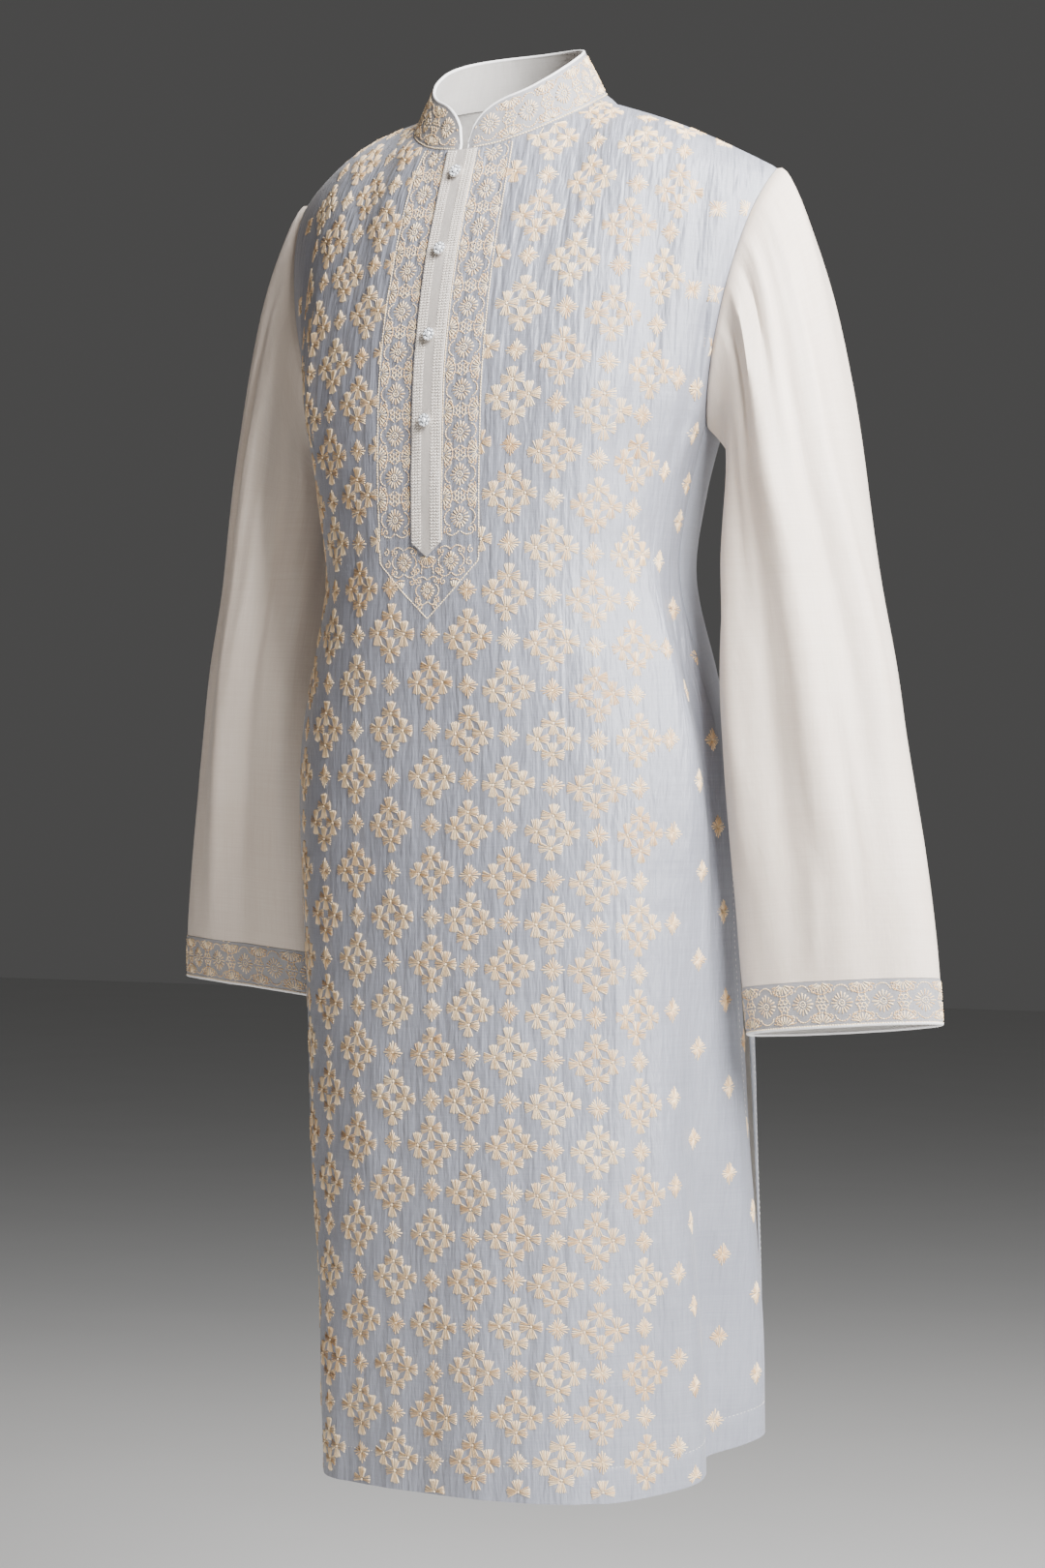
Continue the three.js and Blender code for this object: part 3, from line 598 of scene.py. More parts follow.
def pucker_height(x, y):
    """Short ridges and grooves where the needlework draws the cloth together."""
    worked = smooth((PUCKER_EDGE["from"] - np.abs(x)) / PUCKER_EDGE["over"])
    ridge, *ridge_bumps = PUCKERS["ridge"]
    groove, *groove_bumps = PUCKERS["groove"]
    least, more, *patches = PUCKER_SHARE
    drawn = ridge * np.maximum(ripple(x, y, *ridge_bumps), 0)
    drawn = drawn - groove * np.maximum(ripple(x + PUCKERS["lean"] * y, y, *groove_bumps), 0)
    uneven = least + more * ripple(x, y, *patches)
    return drawn * uneven * mix(PUCKER_EDGE["least"], 1, worked)


def cloth_height(panel, t, v):
    """All folds, creases, puckers and seam dips of a body panel."""
    flat = FLAT[panel].at(t, v)
    x = flat[..., 0]
    y = flat[..., 1]
    height = main_folds(panel, t, v) + trough_sum(CREASES[panel], t, v, HEM_Z)
    soft = sum(rise * ripple(x, y, *bumps) for rise, *bumps in BODY_RIPPLES)
    if panel == "front":
        height = height + pucker_height(x, y)
    edge = np.abs(np.abs(t) - 1) * np.abs(FLAT[panel].flat[-1, 0, 0])
    height = height - SEAM_DIP["depth"] * np.exp(-((edge / SEAM_DIP["spread"]) ** 2))
    hem = (v - HEM_Z - HEM_DEPTH) / HEM_LINE["spread"]
    calm = smooth((TOP_V - v) / CALM_BELOW_TOP)
    return height + soft * calm - HEM_LINE["dip"] * np.exp(-hem * hem)


def body_point(panel, t, v, lift=0.0):
    """A point of a body panel's cloth, raised by a lift, and its normal."""
    return panel_surface(panel, t, v, cloth_height, lift)


def new_object(name, vertices, faces, materials, uvs=None, looks=None):
    """A smooth-shaded mesh object from vertices in millimetres."""
    mesh = bpy.data.meshes.new(name)
    mesh.from_pydata((np.asarray(vertices) * MM).tolist(), [], faces)
    if uvs is not None:
        layer = mesh.uv_layers.new(name="cut")
        layer.data.foreach_set("uv", (np.asarray(uvs, float) * MM).ravel())
    for material in materials:
        mesh.materials.append(material)
    if looks is not None:
        mesh.polygons.foreach_set("material_index", looks)
    mesh.shade_smooth()
    mesh.set_sharp_from_angle(angle=math.radians(50))
    mesh.update()
    made = bpy.data.objects.new(name, mesh)
    bpy.context.scene.collection.objects.link(made)
    return made


def wall(name, points, normals, thickness, flat, look, keep=None, flip=False):
    """A closed wall of cloth from a grid of points: its outer face, inner face and rims.

    The look is for the outer face and the rims. A ring has one column of points fewer than flat places.
    """
    across = flat.shape[0] - 1
    along = flat.shape[1] - 1
    columns = points.shape[0]
    count = columns * (along + 1)
    vertices = np.concatenate([points.reshape(-1, 3), (points - normals * thickness).reshape(-1, 3)])
    faces, uvs, looks = [], [], []
    open_edges = {}
    for i in range(across):
        for j in range(along):
            if keep is not None and not keep[i, j]:
                continue
            corners = ((i, j), (i + 1, j), (i + 1, j + 1), (i, j + 1))
            if flip:
                corners = corners[::-1]
            outer = [(a % columns) * (along + 1) + b for a, b in corners]
            places = [flat[a, b] for a, b in corners]
            faces += [outer, [p + count for p in reversed(outer)]]
            uvs += places + places[::-1]
            looks += [0, 1]
            for k in range(4):
                start, end = outer[k], outer[(k + 1) % 4]
                if (end, start) in open_edges:
                    del open_edges[end, start]
                else:
                    open_edges[start, end] = (places[k], places[(k + 1) % 4])
    for (start, end), (first, second) in open_edges.items():
        faces.append([end, start, start + count, end + count])
        uvs += [second, first, first, second]
        looks.append(0)
    return new_object(name, vertices, faces, [look, LINING_LOOK], uvs, looks)


def ring_flat(points):
    """Flat places of a ring-shaped piece: distance round it and along it."""
    closed = np.concatenate([points, points[:1]])
    round_steps = np.linalg.norm(np.diff(closed, axis=0), axis=-1)
    x = np.concatenate([np.zeros((1, points.shape[1])), np.cumsum(round_steps, axis=0)])
    along_steps = np.linalg.norm(np.diff(points, axis=1), axis=-1).mean(axis=0)
    y = np.concatenate([[0], np.cumsum(along_steps)])
    return np.stack([x, np.broadcast_to(y, x.shape)], axis=-1)


def armhole_point(side, angle):
    """The armhole's edge at an angle round it: 0 at the shoulder, 90 at the front, 180 at the armpit."""
    front = angle <= 180
    w = np.where(front, 1 - angle / 180, (angle - 180) / 180)
    v = ARMPIT_Z + w * YOKE_RISE
    t = np.full(v.shape, float(side))
    ahead, _ = body_point("front", t, v)
    behind, _ = body_point("back", t, v)
    point = np.where(front[..., None], ahead, behind)
    point[..., 0] *= side
    return point


def sleeve_section(name, angle, z):
    """A point of a sleeve's oval at height z. Both sleeves are worked out as left ones."""
    rows = SLEEVE_ROWS[name]
    a = np.radians(angle)
    turn = np.radians(column(rows, "turn", z))
    wide = column(rows, "wide", z) * np.cos(a)
    thick = -column(rows, "thick", z) * np.sin(a)
    dx = wide * np.cos(turn) - thick * np.sin(turn)
    dy = wide * np.sin(turn) + thick * np.cos(turn)
    s = (SLEEVE_TOP_Z - z) / (SLEEVE_TOP_Z - SLEEVE_END[name])
    dz = s * (CUFF_TILT["across"] * dx + CUFF_TILT["through"] * dy)
    return vec(column(rows, "x", z) + dx, column(rows, "y", z) + dy, z + dz)


class Sleeve:
    """A sleeve's surface. s runs from -1 at the armhole over 0 below the armpit to 1 at the end."""

    def __init__(self, name):
        self.name = name
        self.side = SLEEVE_SIDE[name]
        self.end = SLEEVE_END[name]
        self.length = SLEEVE_TOP_Z - self.end
        self.cuff_start = 1 - CUFF_HEIGHT / self.length
        self.hole_angles = np.linspace(0, 360, RING_MARKS)
        self.hole = armhole_point(self.side, self.hole_angles)
        self.hole[[0, -1]] = (self.hole[0] + self.hole[-1]) / 2
        self.centre = (self.hole[0] + self.hole[180]) / 2

    def hole_at(self, angle):
        """The armhole's edge at an angle round it."""
        a = np.mod(angle, 360)
        return np.stack([np.interp(a, self.hole_angles, self.hole[:, k]) for k in range(3)], axis=-1)

    def plain(self, angle, s):
        """A point of the sleeve without its folds."""
        angle, s = np.broadcast_arrays(np.mod(np.asarray(angle, float), 360), np.asarray(s, float))
        low = sleeve_section(self.name, angle, mix(SLEEVE_TOP_Z, self.end, np.maximum(s, 0)))
        a = np.radians(angle)
        top = (1 + np.cos(a)) / 2
        start = vec(
            mix(UNDER_START["out"], CAP_START["out"], top),
            -CAP_START["forward"] * np.sin(a) * 2 * top,
            -mix(UNDER_START["down"], CAP_START["down"], top),
        )
        level = np.full(angle.shape, float(SLEEVE_TOP_Z))
        edge = sleeve_section(self.name, angle, level)
        fall = sleeve_section(self.name, angle, level - SLEEVE_SPAN) - edge
        fall = fall * (mix(CAP_REACH["under"], CAP_REACH["top"], top) / SLEEVE_SPAN)[..., None]
        cap = hermite(self.hole_at(angle) + ARMHOLE_OUT * SEAM_GAP, start, edge, fall, s + 1)
        return np.where((s >= 0)[..., None], low, cap)

    def point(self, angle, s, lift=0.0):
        """A point of the sleeve's cloth, raised by a lift, and its normal."""
        angle, s = np.broadcast_arrays(np.asarray(angle, float), np.asarray(s, float))

        def surface(a, b):
            return self.plain(a, b / SLEEVE_SPAN)

        ends = (-SLEEVE_SPAN, SLEEVE_SPAN)
        normal = normal_of(surface, angle, s * SLEEVE_SPAN, (-STEP, 360 + STEP), ends, 1)
        point = self.plain(angle, s)
        z = point[..., 2]
        height = trough_sum(SLEEVE_FOLDS, angle, z, HEM_Z)
        height = height + trough_sum(SLEEVE_CREASES[self.name], angle, z, HEM_Z)
        turn = np.radians(angle)
        x = SLEEVE_CHART["radius"] * np.cos(turn) + (SLEEVE_CHART["left"] if self.side > 0 else 0)
        y = z + SLEEVE_CHART["radius"] * np.sin(turn)
        for rise, *bumps in SLEEVE_RIPPLES:
            height = height + rise * ripple(x, y, *bumps)
        height = height * smooth((s + 1) / FADE["cap"])
        away = np.maximum(s + 1, 0) * self.length * CAP_ROLL["length"] / CAP_ROLL["at"]
        roll = CAP_ROLL["rise"] * away * np.exp(1 - away)
        return point + normal * (height + roll + lift)[..., None], normal

    def placed(self, points):
        """Points or normals on the sleeve's own side of the body."""
        return points * np.array((self.side, 1, 1))

    def wall(self, name, places, thickness, lift, look):
        """A ring of cloth round the sleeve, with its flat places."""
        angles = np.linspace(0, 360, SLEEVE_GRID["round"], endpoint=False)
        angle, s = np.meshgrid(angles, places, indexing="ij")
        points, normals = self.point(angle, s, lift)
        if places[0] == -1:
            radial = self.hole_at(angles) - self.centre
            radial -= (radial @ ARMHOLE_OUT)[:, None] * ARMHOLE_OUT
            normals[:, 0] = unit(radial)
        flat = ring_flat(points)
        points, normals = self.placed(points), self.placed(normals)
        return wall(name, points, normals, thickness, flat, look, flip=self.side < 0), flat


def shoulder_normal(side):
    """The normal of the shoulder seam, square to the seam and as upright as it can be."""
    seam = neckline_point(np.array(float(NECK["seam"])))
    along = unit(np.array(SHOULDER_TIP[side]) - seam)
    normal = unit(np.array((0, 0, 1.0)) - along * along[2])
    return normal * np.array((side, 1, 1))


def neck_edge(angle):
    """The neckline edge of the panels, with its normal and its upward direction."""
    away = np.abs(angle)
    front = away < NECK["seam"]
    share = np.where(front, away / NECK["seam"], (180 - away) / (180 - NECK["seam"]))
    t = share * NECK["share"] * np.sign(angle)
    top = np.full(t.shape, float(TOP_V))
    ahead = body_point("front", t, top)
    behind = body_point("back", t, top)
    point = np.where(front[..., None], ahead[0], behind[0])
    normal = np.where(front[..., None], ahead[1], behind[1])
    seam = np.where((angle > 0)[..., None], shoulder_normal(1), shoulder_normal(-1))
    near = smooth((share - NECK["blend"]) / (1 - NECK["blend"]))[..., None]
    normal = unit(mix(normal, seam, near))
    along = neckline_point(angle + 1) - neckline_point(angle - 1)
    return point, normal, unit(np.cross(normal, along))


COLLAR_ROUND = 2 * math.pi * math.sqrt((NECK["half"] ** 2 + NECK["front"] ** 2) / 2)
COLLAR_REACH = (180 - COLLAR["front_angle"]) / 360 * COLLAR_ROUND


def collar_height(s):
    """Height of the stand collar. s is -1 and 1 at its front ends and 0 at the back."""
    from_end = (1 - np.abs(s)) * COLLAR_REACH
    c = 1 - np.minimum(1, from_end / COLLAR_END["corner"])
    return mix(COLLAR_END["height"], COLLAR["height"], np.sqrt(np.maximum(0, 1 - c * c)))


def collar_point(s, b):
    """A point of the collar's outer face. b is 0 at its seam and 1 at its top edge."""
    s, b = np.broadcast_arrays(np.asarray(s, float), np.asarray(b, float))
    away = 180 - (180 - COLLAR["front_angle"]) * np.abs(s)
    angle = np.where(s < 0, away, -away)
    edge, edge_normal, up = neck_edge(angle)
    inward = unit(vec(-edge[..., 0], -edge[..., 1], 0))
    rise = (b * collar_height(s))[..., None]
    lean = mix(COLLAR["front_lean"], COLLAR["lean"], smooth(away / 90))[..., None] / COLLAR["height"]
    point = edge + up * COLLAR_GAP + inward * lean * rise
    point[..., 2] += rise[..., 0]
    out = unit(-inward + vec(0, 0, lean[..., 0]))
    normal = unit(mix(edge_normal, out, smooth(b / COLLAR["bend"])[..., None]))
    rise, *bumps = COLLAR_RIPPLE
    soft = rise * ripple(s * COLLAR_REACH, b * COLLAR_CHART["height"], *bumps)
    return point + normal * (soft * smooth(b * COLLAR_CHART["calm"]))[..., None], normal


def placket_width():
    """Width of the front panel for each unit of t at its middle, along the placket."""
    v = np.linspace(PLACKET["bottom"], TOP_V, PLACKET_MARKS)
    middle, _ = body_point("front", np.zeros(PLACKET_MARKS), v)
    beside, _ = body_point("front", np.full(PLACKET_MARKS, STEP), v)
    return v, np.linalg.norm(beside - middle, axis=-1) / STEP


PLACKET_V, PLACKET_WIDTH = placket_width()


def front_at(x, y):
    """A point of the front panel from its flat place, its normal, and whether it lies on the panel."""
    t, v = FLAT["front"].find(x, y)
    on_panel = (np.abs(t) < FRONT_INSIDE["side"]) & (v > HEM_Z + FRONT_INSIDE["hem"])
    on_panel &= v < TOP_V - FRONT_INSIDE["top"]
    point, normal = body_point("front", np.clip(t, -1, 1), np.clip(v, HEM_Z, TOP_V))
    return point, normal, on_panel


# Needlework in millimetres on the flat cloth. The lattice has pitches across and along, a first row and a
# row at which the pitch along changes. Groups and stars reach to a last column on either side
LATTICE = {"across": 33.2, "upper": 35.2, "lower": 33.4, "row0": -440.7, "change": -4}
LAST_COLUMN = {"groups": 5, "stars": 9}
LATTICE_ROWS = range(-18, 18)
NARROW = 0.82
BY_ARMHOLE = {"column": 6, "row": 8, "left_out": 7, "turn": 45}
UNEVEN = {"place": 0.5, "turn": 2.5, "size": 0.03, "tone": 0.1, "thread": 0.2, "shade": 0.22}
NEAT = 0.1

# Where stitches may lie: margins from the edges of the front panel, the collar and the cuffs
FRONT_INSIDE = {"side": 0.995, "hem": 1, "top": 1.5}
COLLAR_INSIDE = {"end": 0.985, "top": 0.95, "seam": 0.01}
CUFF_INSIDE = {"end": 0.4, "seam": 0.3}

# Motifs
GROUP_OFFSET = 11.9
PETAL = {"inner": 1.0, "outer": 9.3, "base": 1.1, "spread": 3.9, "dip": 0.8}
PETAL_THREADS = {"count": 7, "width": 1.15, "tone": 0.12}
STAR = {"rays": 20, "inner": 0.7, "tips": (8.9, 7.5, 6.1), "width": 1.6}
KNOT = {"size": 1.3, "skew": 0.3, "width": 1.3, "rises": (1.2, 1.25)}
ROSETTE = {"leaves": 16, "inner": 3.3, "radius": 8.4, "dip": 0.6, "width": 1.7, "tone": 0.15}
ROSETTE_HEART = {"diamond": 2.7, "size": 0.9, "rise": 0.8}
LEAF_FAN = {"leaves": 7, "inner": 2.0, "radius": 7.6, "reach": 66, "width": 1.6, "outline": 1.3}
LOBE = {"off": 7.4, "radius": 5.9, "first": 12, "last": 168}
HORN = ((10.0, 0.6), (12.0, 3.0), (13.0, 6.2), (12.2, 9.6))
HORN_CURL = (9.3, 9.2, 3.1, 0.9, 10, 380, 22)
SPRIG = ((11.0, 13.2), (8.2, 13.6), (5.8, 12.4))
LOOP = {"across": 1.6, "up": 2.5, "radius": 1.9, "sweep": 330}

# Curls in the foot of the bands: place across, share of the way down to the tip, height above that, radii at
# both ends, sweep and number of points
FOOT_CURLS = (
    (9.5, 0, -5, 3.8, 1.0, -420, 24),
    (7.5, 0.78, 0, 3.0, 0.9, 420, 24),
    (38, 0, -1, 3.2, 0.9, 420, 24),
    (39, 0, 8, 3.0, 0.9, 400, 20),
    (14.5, 0, -14, 3.0, 0.9, 400, 20),
)
FOOT_FANS = {"middle": (5.5, 9, 1.5, 7.4), "low": 195, "high": 345, "width": 1.6, "outline": 8.9}
FOOT_STEM = ((6, -8), (4.6, -2), (6.4, 2))
FOOT_ROSETTES = {"beside": (21.8, 0.86), "middle": 0.8}

# How far the worn cloth carries the lattice outwards and down from its even rows, by column and flat height
DRAWN_COLUMNS = (0, 2, 4, 5, 6, 7, 8)
DRAWN_OUT = {
    0: (0, 13, 25, 23, 19, 5, -22),
    -90: (0, 8, 13, 12, 2.5, -9, -47),
    -160: (0, 5, 7.5, 5.5, -5.5, -15.5, -52),
    -230: (0, 4, 4, 1, -8, -16, -46),
    -300: (1, 3, 2.5, 0.5, -5, -18, -38),
    -400: (3, 2.5, 1.5, -3.5, -13.5, -20, -28),
    -450: (3, 2, 1.5, -2.5, -12.5, -21, -24),
    -550: (3, 1, 1.5, -0.5, -6.5, -15, -20),
    -750: (2, 3, 1, 0, -6, -12, -13),
    -850: (1.5, 4, 0.5, 0, -7, -24, -12),
    -950: (1.5, 5, 0, 0, -8, -28, -7),
}
DRAWN_DOWN = {
    0: (0, 11, 24, 29, 43, 46, 36),
    -90: (0, 5, 17, 23, 31.5, 38, 33),
    -160: (0, 6.5, 17.5, 22, 26.5, 34, 34),
    -230: (0, 6, 17.5, 19.5, 24, 29, 33),
    -300: (0, 7, 15, 15.5, 20, 22, 25),
    -400: (0, 7, 13, 14.5, 15.5, 11.5, 14),
    -550: (0, 4, 9.5, 9.5, 7, 2.5, 1),
    -750: (0, 0, 4, 5, 0, -0.5, -4),
    -850: (0, -2, 1, 3, -4, -8, -11),
    -950: (0, -4, -2, 0, -9, -19, -18),
}
DRAWN_FAR = {"out": 1.05, "down": 0.65, "from": -150, "over": 250}
BAND = {"edge": 45.5, "inner": 13.6, "turn": -353, "tip": -394, "cells": 13, "start": 0.5}
CELL = {"long": 31.3, "high": 32.0}
THREAD_UNEVENNESS = 0.12
CHAIN = {"step": 2.1, "width": 1.2, "rise": 0.7, "overlap": 1.16}
SATIN_RISE = 0.62
HEM_STITCH = {"end": 0.985, "share": 0.0046, "pitch": 5.0, "long": 2.6, "size": (0.5, 0.3)}
PLACKET_ROWS = ((4.3, 6.7), (7.2, 9.6), (10.1, 12.4))
PLACKET_STITCH = {"pitch": 2.3, "up": 1.1, "down": 0.6, "size": (0.85, 0.5), "loose": 0.06}
FAN, EVEN = 0, 1
PLAIN, BRIGHT, DEEP = 0.5, 1.0, 0.15
COMPASS = ((1, 0), (0, 1), (-1, 0), (0, -1))
CORNERS = ((1, 1), (1, -1), (-1, 1), (-1, -1))


def stitch(x0, y0, x1, y1, width, rise=SATIN_RISE, tone=PLAIN, kind=FAN):
    """A chart row: both ends, width, height, tone from deep to pale, and kind of thread."""
    return (x0, y0, x1, y1, width, rise, tone, kind)


def rays(cx, cy, count, inner, outer, first, last, width, tone=PLAIN):
    """Satin stitches that spread from a point, from one angle to another in degrees."""
    made = []
    for angle in np.radians(np.linspace(first, last, count)):
        c, s = math.cos(angle), math.sin(angle)
        ends = (cx + inner * c, cy + inner * s, cx + outer * c, cy + outer * s)
        made.append(stitch(*ends, width, tone=tone))
    return made


def chain(points, tone=PLAIN, width=CHAIN["width"], rise=CHAIN["rise"]):
    """Chain stitches end to end along a line."""
    points = np.asarray(points, float)
    lengths = np.concatenate([[0], np.cumsum(np.linalg.norm(np.diff(points, axis=0), axis=1))])
    count = max(1, round(lengths[-1] / CHAIN["step"]))
    marks = np.linspace(0, lengths[-1], count + 1)
    xs = np.interp(marks, lengths, points[:, 0])
    ys = np.interp(marks, lengths, points[:, 1])
    made = []
    for k in range(count):
        mx, my = (xs[k] + xs[k + 1]) / 2, (ys[k] + ys[k + 1]) / 2
        hx = (xs[k + 1] - xs[k]) / 2 * CHAIN["overlap"]
        hy = (ys[k + 1] - ys[k]) / 2 * CHAIN["overlap"]
        made.append(stitch(mx - hx, my - hy, mx + hx, my + hy, width, rise, tone, EVEN))
    return made


def arc(cx, cy, start_radius, end_radius, first, last, points=28):
    """Points of an arc or a spiral round a centre, with angles in degrees."""
    angles = np.radians(np.linspace(first, last, points))
    radii = np.linspace(start_radius, end_radius, points)
    return np.stack([cx + radii * np.cos(angles), cy + radii * np.sin(angles)], axis=1)


def knot(cx, cy):
    """Two short crossed stitches."""
    size, skew = KNOT["size"], KNOT["skew"]
    first, second = KNOT["rises"]
    return [
        stitch(cx - size, cy - skew, cx + size, cy + skew, KNOT["width"], first, BRIGHT, EVEN),
        stitch(cx + skew, cy - size, cx - skew, cy + size, KNOT["width"], second, BRIGHT, EVEN),
    ]


def flower(cx, cy):
    """A flower of four fan-shaped satin petals and a knot."""
    made = []
    for petal, (ux, uy) in enumerate(COMPASS):
        tone = PLAIN + PETAL_THREADS["tone"] * (petal % 2)
        for u in np.linspace(-1, 1, PETAL_THREADS["count"]):
            ends = []
            tip = PETAL["outer"] - PETAL["dip"] * u * u
            for out, aside in ((PETAL["inner"], u * PETAL["base"]), (tip, u * PETAL["spread"])):
                ends += [cx + ux * out - uy * aside, cy + uy * out + ux * aside]
            made.append(stitch(*ends, PETAL_THREADS["width"], tone=tone))
    return made + knot(cx, cy)


def flower_group():
    """Four flowers round an open middle."""
    made = []
    for ux, uy in COMPASS:
        made += flower(ux * GROUP_OFFSET, uy * GROUP_OFFSET)
    return made


def star():
    """A small four-pointed star of satin stitches."""
    made = []
    quarter = STAR["rays"] // 4
    for k in range(STAR["rays"]):
        away = min(k % quarter, quarter - k % quarter)
        angle = 360 * k / STAR["rays"]
        made += rays(0, 0, 1, STAR["inner"], STAR["tips"][away], angle, angle, STAR["width"])
    return made + knot(0, 0)


def rosette():
    """A ring of satin leaves, longer at four points, round a small chain diamond."""
    made = []
    for k in range(ROSETTE["leaves"]):
        angle = 360 * k / ROSETTE["leaves"]
        reach = ROSETTE["radius"] - ROSETTE["dip"] * (1 - math.cos(math.radians(4 * angle)))
        tone = PLAIN + ROSETTE["tone"] * (k % 2)
        made += rays(0, 0, 1, ROSETTE["inner"], reach, angle, angle, ROSETTE["width"], tone)
    reach, size, rise = ROSETTE_HEART["diamond"], ROSETTE_HEART["size"], ROSETTE_HEART["rise"]
    made += chain([(x * reach, y * reach) for x, y in (*COMPASS, COMPASS[0])], BRIGHT, 1.0, rise)
    return made + [stitch(-size, 0, size, 0, size, rise, BRIGHT, EVEN)]


def fan(cx, cy, facing, radius=LEAF_FAN["radius"]):
    """A fan of leaves with an outline, spreading in the direction it faces."""
    low, high = facing - LEAF_FAN["reach"], facing + LEAF_FAN["reach"]
    made = rays(cx, cy, LEAF_FAN["leaves"], LEAF_FAN["inner"], radius, low, high, LEAF_FAN["width"], BRIGHT)
    edge = radius + LEAF_FAN["outline"]
    return made + chain(arc(cx, cy, edge, edge, low + 2, high - 2, 16), DEEP)


def framed_rosette():
    """A rosette in a frame of two side lobes and four horns that end in curls."""
    made = rosette()
    lobe = arc(0, LOBE["off"], LOBE["radius"], LOBE["radius"], LOBE["first"], LOBE["last"], 16)
    for sy in (1, -1):
        made += chain(lobe * (1, sy))
        for sx in (1, -1):
            made += chain(np.concatenate([HORN, arc(*HORN_CURL)]) * (sx, sy))
            made += chain(np.array(SPRIG) * (sx, sy), DEEP)
    return made


def loops(cx, cy):
    """Four interlaced loops between rosettes."""
    made = []
    radius = LOOP["radius"]
    for sx, sy in CORNERS:
        ring = arc(cx + sx * LOOP["across"], cy + sy * LOOP["up"], radius, radius, 0, LOOP["sweep"], 12)
        made += chain(ring, PLAIN if sx > 0 else BRIGHT)
    return made


def border_cell():
    """One repeat of the closely worked border, centred on its rosette and running along x."""
    half = CELL["long"] / 2
    edge = CELL["high"] / 2
    made = framed_rosette() + loops(half, 0)
    for sy in (1, -1):
        made += fan(half, sy * (edge - 0.6), -90 * sy)
        made += chain([(-half, sy * edge), (half, sy * edge)], BRIGHT)
    return made


def border_point():
    """Fans, curls and the edge of the pointed foot where the two bands meet. Its rows are flat places."""
    turn, tip = flat_y(BAND["turn"]), flat_y(BAND["tip"])
    halfway = mix(tip, turn, 0.5)
    up, count, inner, outer = FOOT_FANS["middle"]
    low, high, edge = FOOT_FANS["low"], FOOT_FANS["high"], FOOT_FANS["outline"]
    made = rays(0, turn + up, count, inner, outer, low, high, FOOT_FANS["width"])
    made += chain(arc(0, turn + up, edge, edge, low + 5, high - 5, 16), DEEP)
    for side in (-1, 1):
        edge = side * BAND["edge"]
        made += chain([(edge, turn + 10), (edge, turn), (side * 24, halfway), (0, tip)], BRIGHT)
        made += fan(side * 24.5, halfway, 90 - side * 40, 6.6)
        for x, share, up, start, end, sweep, count in FOOT_CURLS:
            y = mix(turn, tip, share) + up
            made += chain(arc(side * x, y, start, end, 90, 90 + side * sweep, count))
        made += chain([(side * x, turn + up) for x, up in FOOT_STEM])
    return made


def flat_y(v):
    """Flat height of a place on the middle line of the front panel."""
    middle = FLAT["front"].flat[FLAT_GRID["across"] // 2, :, 1]
    return float(np.interp(v, FLAT["front"].v, middle))


def row_y(j):
    """Flat height of a lattice row."""
    change = LATTICE["change"]
    if j >= change:
        return flat_y(LATTICE["row0"]) + LATTICE["upper"] * j
    return flat_y(LATTICE["row0"]) + LATTICE["upper"] * change + LATTICE["lower"] * (j - change)


def drawn(rows, column, y):
    """A value of a table of lattice shifts, between its columns and heights."""
    heights = sorted(rows)
    values = [np.interp(column, DRAWN_COLUMNS, rows[height]) for height in heights]
    return float(np.interp(y, heights, values))


def lattice_place(i, j):
    """Flat place of a lattice point on the worn front."""
    y = row_y(j)
    x = i * LATTICE["across"]
    down = drawn(DRAWN_DOWN, abs(i), y)
    if i >= 0:
        return x + drawn(DRAWN_OUT, i, y), y - down
    low = float(smooth((DRAWN_FAR["from"] - y) / DRAWN_FAR["over"]))
    return x - DRAWN_FAR["out"] * i * i * low, y - DRAWN_FAR["down"] * down * (1 - low)


def foot_of_band(x):
    """Flat height of the lower edge of the bands at a distance from the middle."""
    share = np.clip(np.abs(x) / BAND["edge"], 0, 1)
    return mix(flat_y(BAND["tip"]), flat_y(BAND["turn"]), share)


class Needlework:
    """Stitches placed on a flat chart, then laid on a surface."""

    def __init__(self, seed):
        self.parts = []
        self.random = np.random.default_rng(seed)

    def put(self, rows, x=0.0, y=0.0, turn=0.0, scale=1.0, loose=0.0, tone=0.0):
        """Adds a motif at a place of the chart, each thread a little loose and of its own tone."""
        made = np.array(rows, float)
        spin = math.radians(turn)
        c, s = math.cos(spin), math.sin(spin)
        for k in (0, 2):
            px = made[:, k] * scale + self.random.normal(0, loose, len(made))
            py = made[:, k + 1] * scale + self.random.normal(0, loose, len(made))
            made[:, k] = x + px * c - py * s
            made[:, k + 1] = y + px * s + py * c
        made[:, 6] += tone + self.random.normal(0, UNEVEN["shade"], len(made))
        self.parts.append(made)

    def rows(self, kind):
        """All stitches of one kind of thread."""
        made = np.concatenate(self.parts)
        return made[made[:, 7] == kind]

    def dropped(self, inside):
        """Leaves out the stitches whose middles lie inside a region."""
        for k, made in enumerate(self.parts):
            mx = (made[:, 0] + made[:, 2]) / 2
            my = (made[:, 1] + made[:, 3]) / 2
            self.parts[k] = made[~inside(mx, my)]


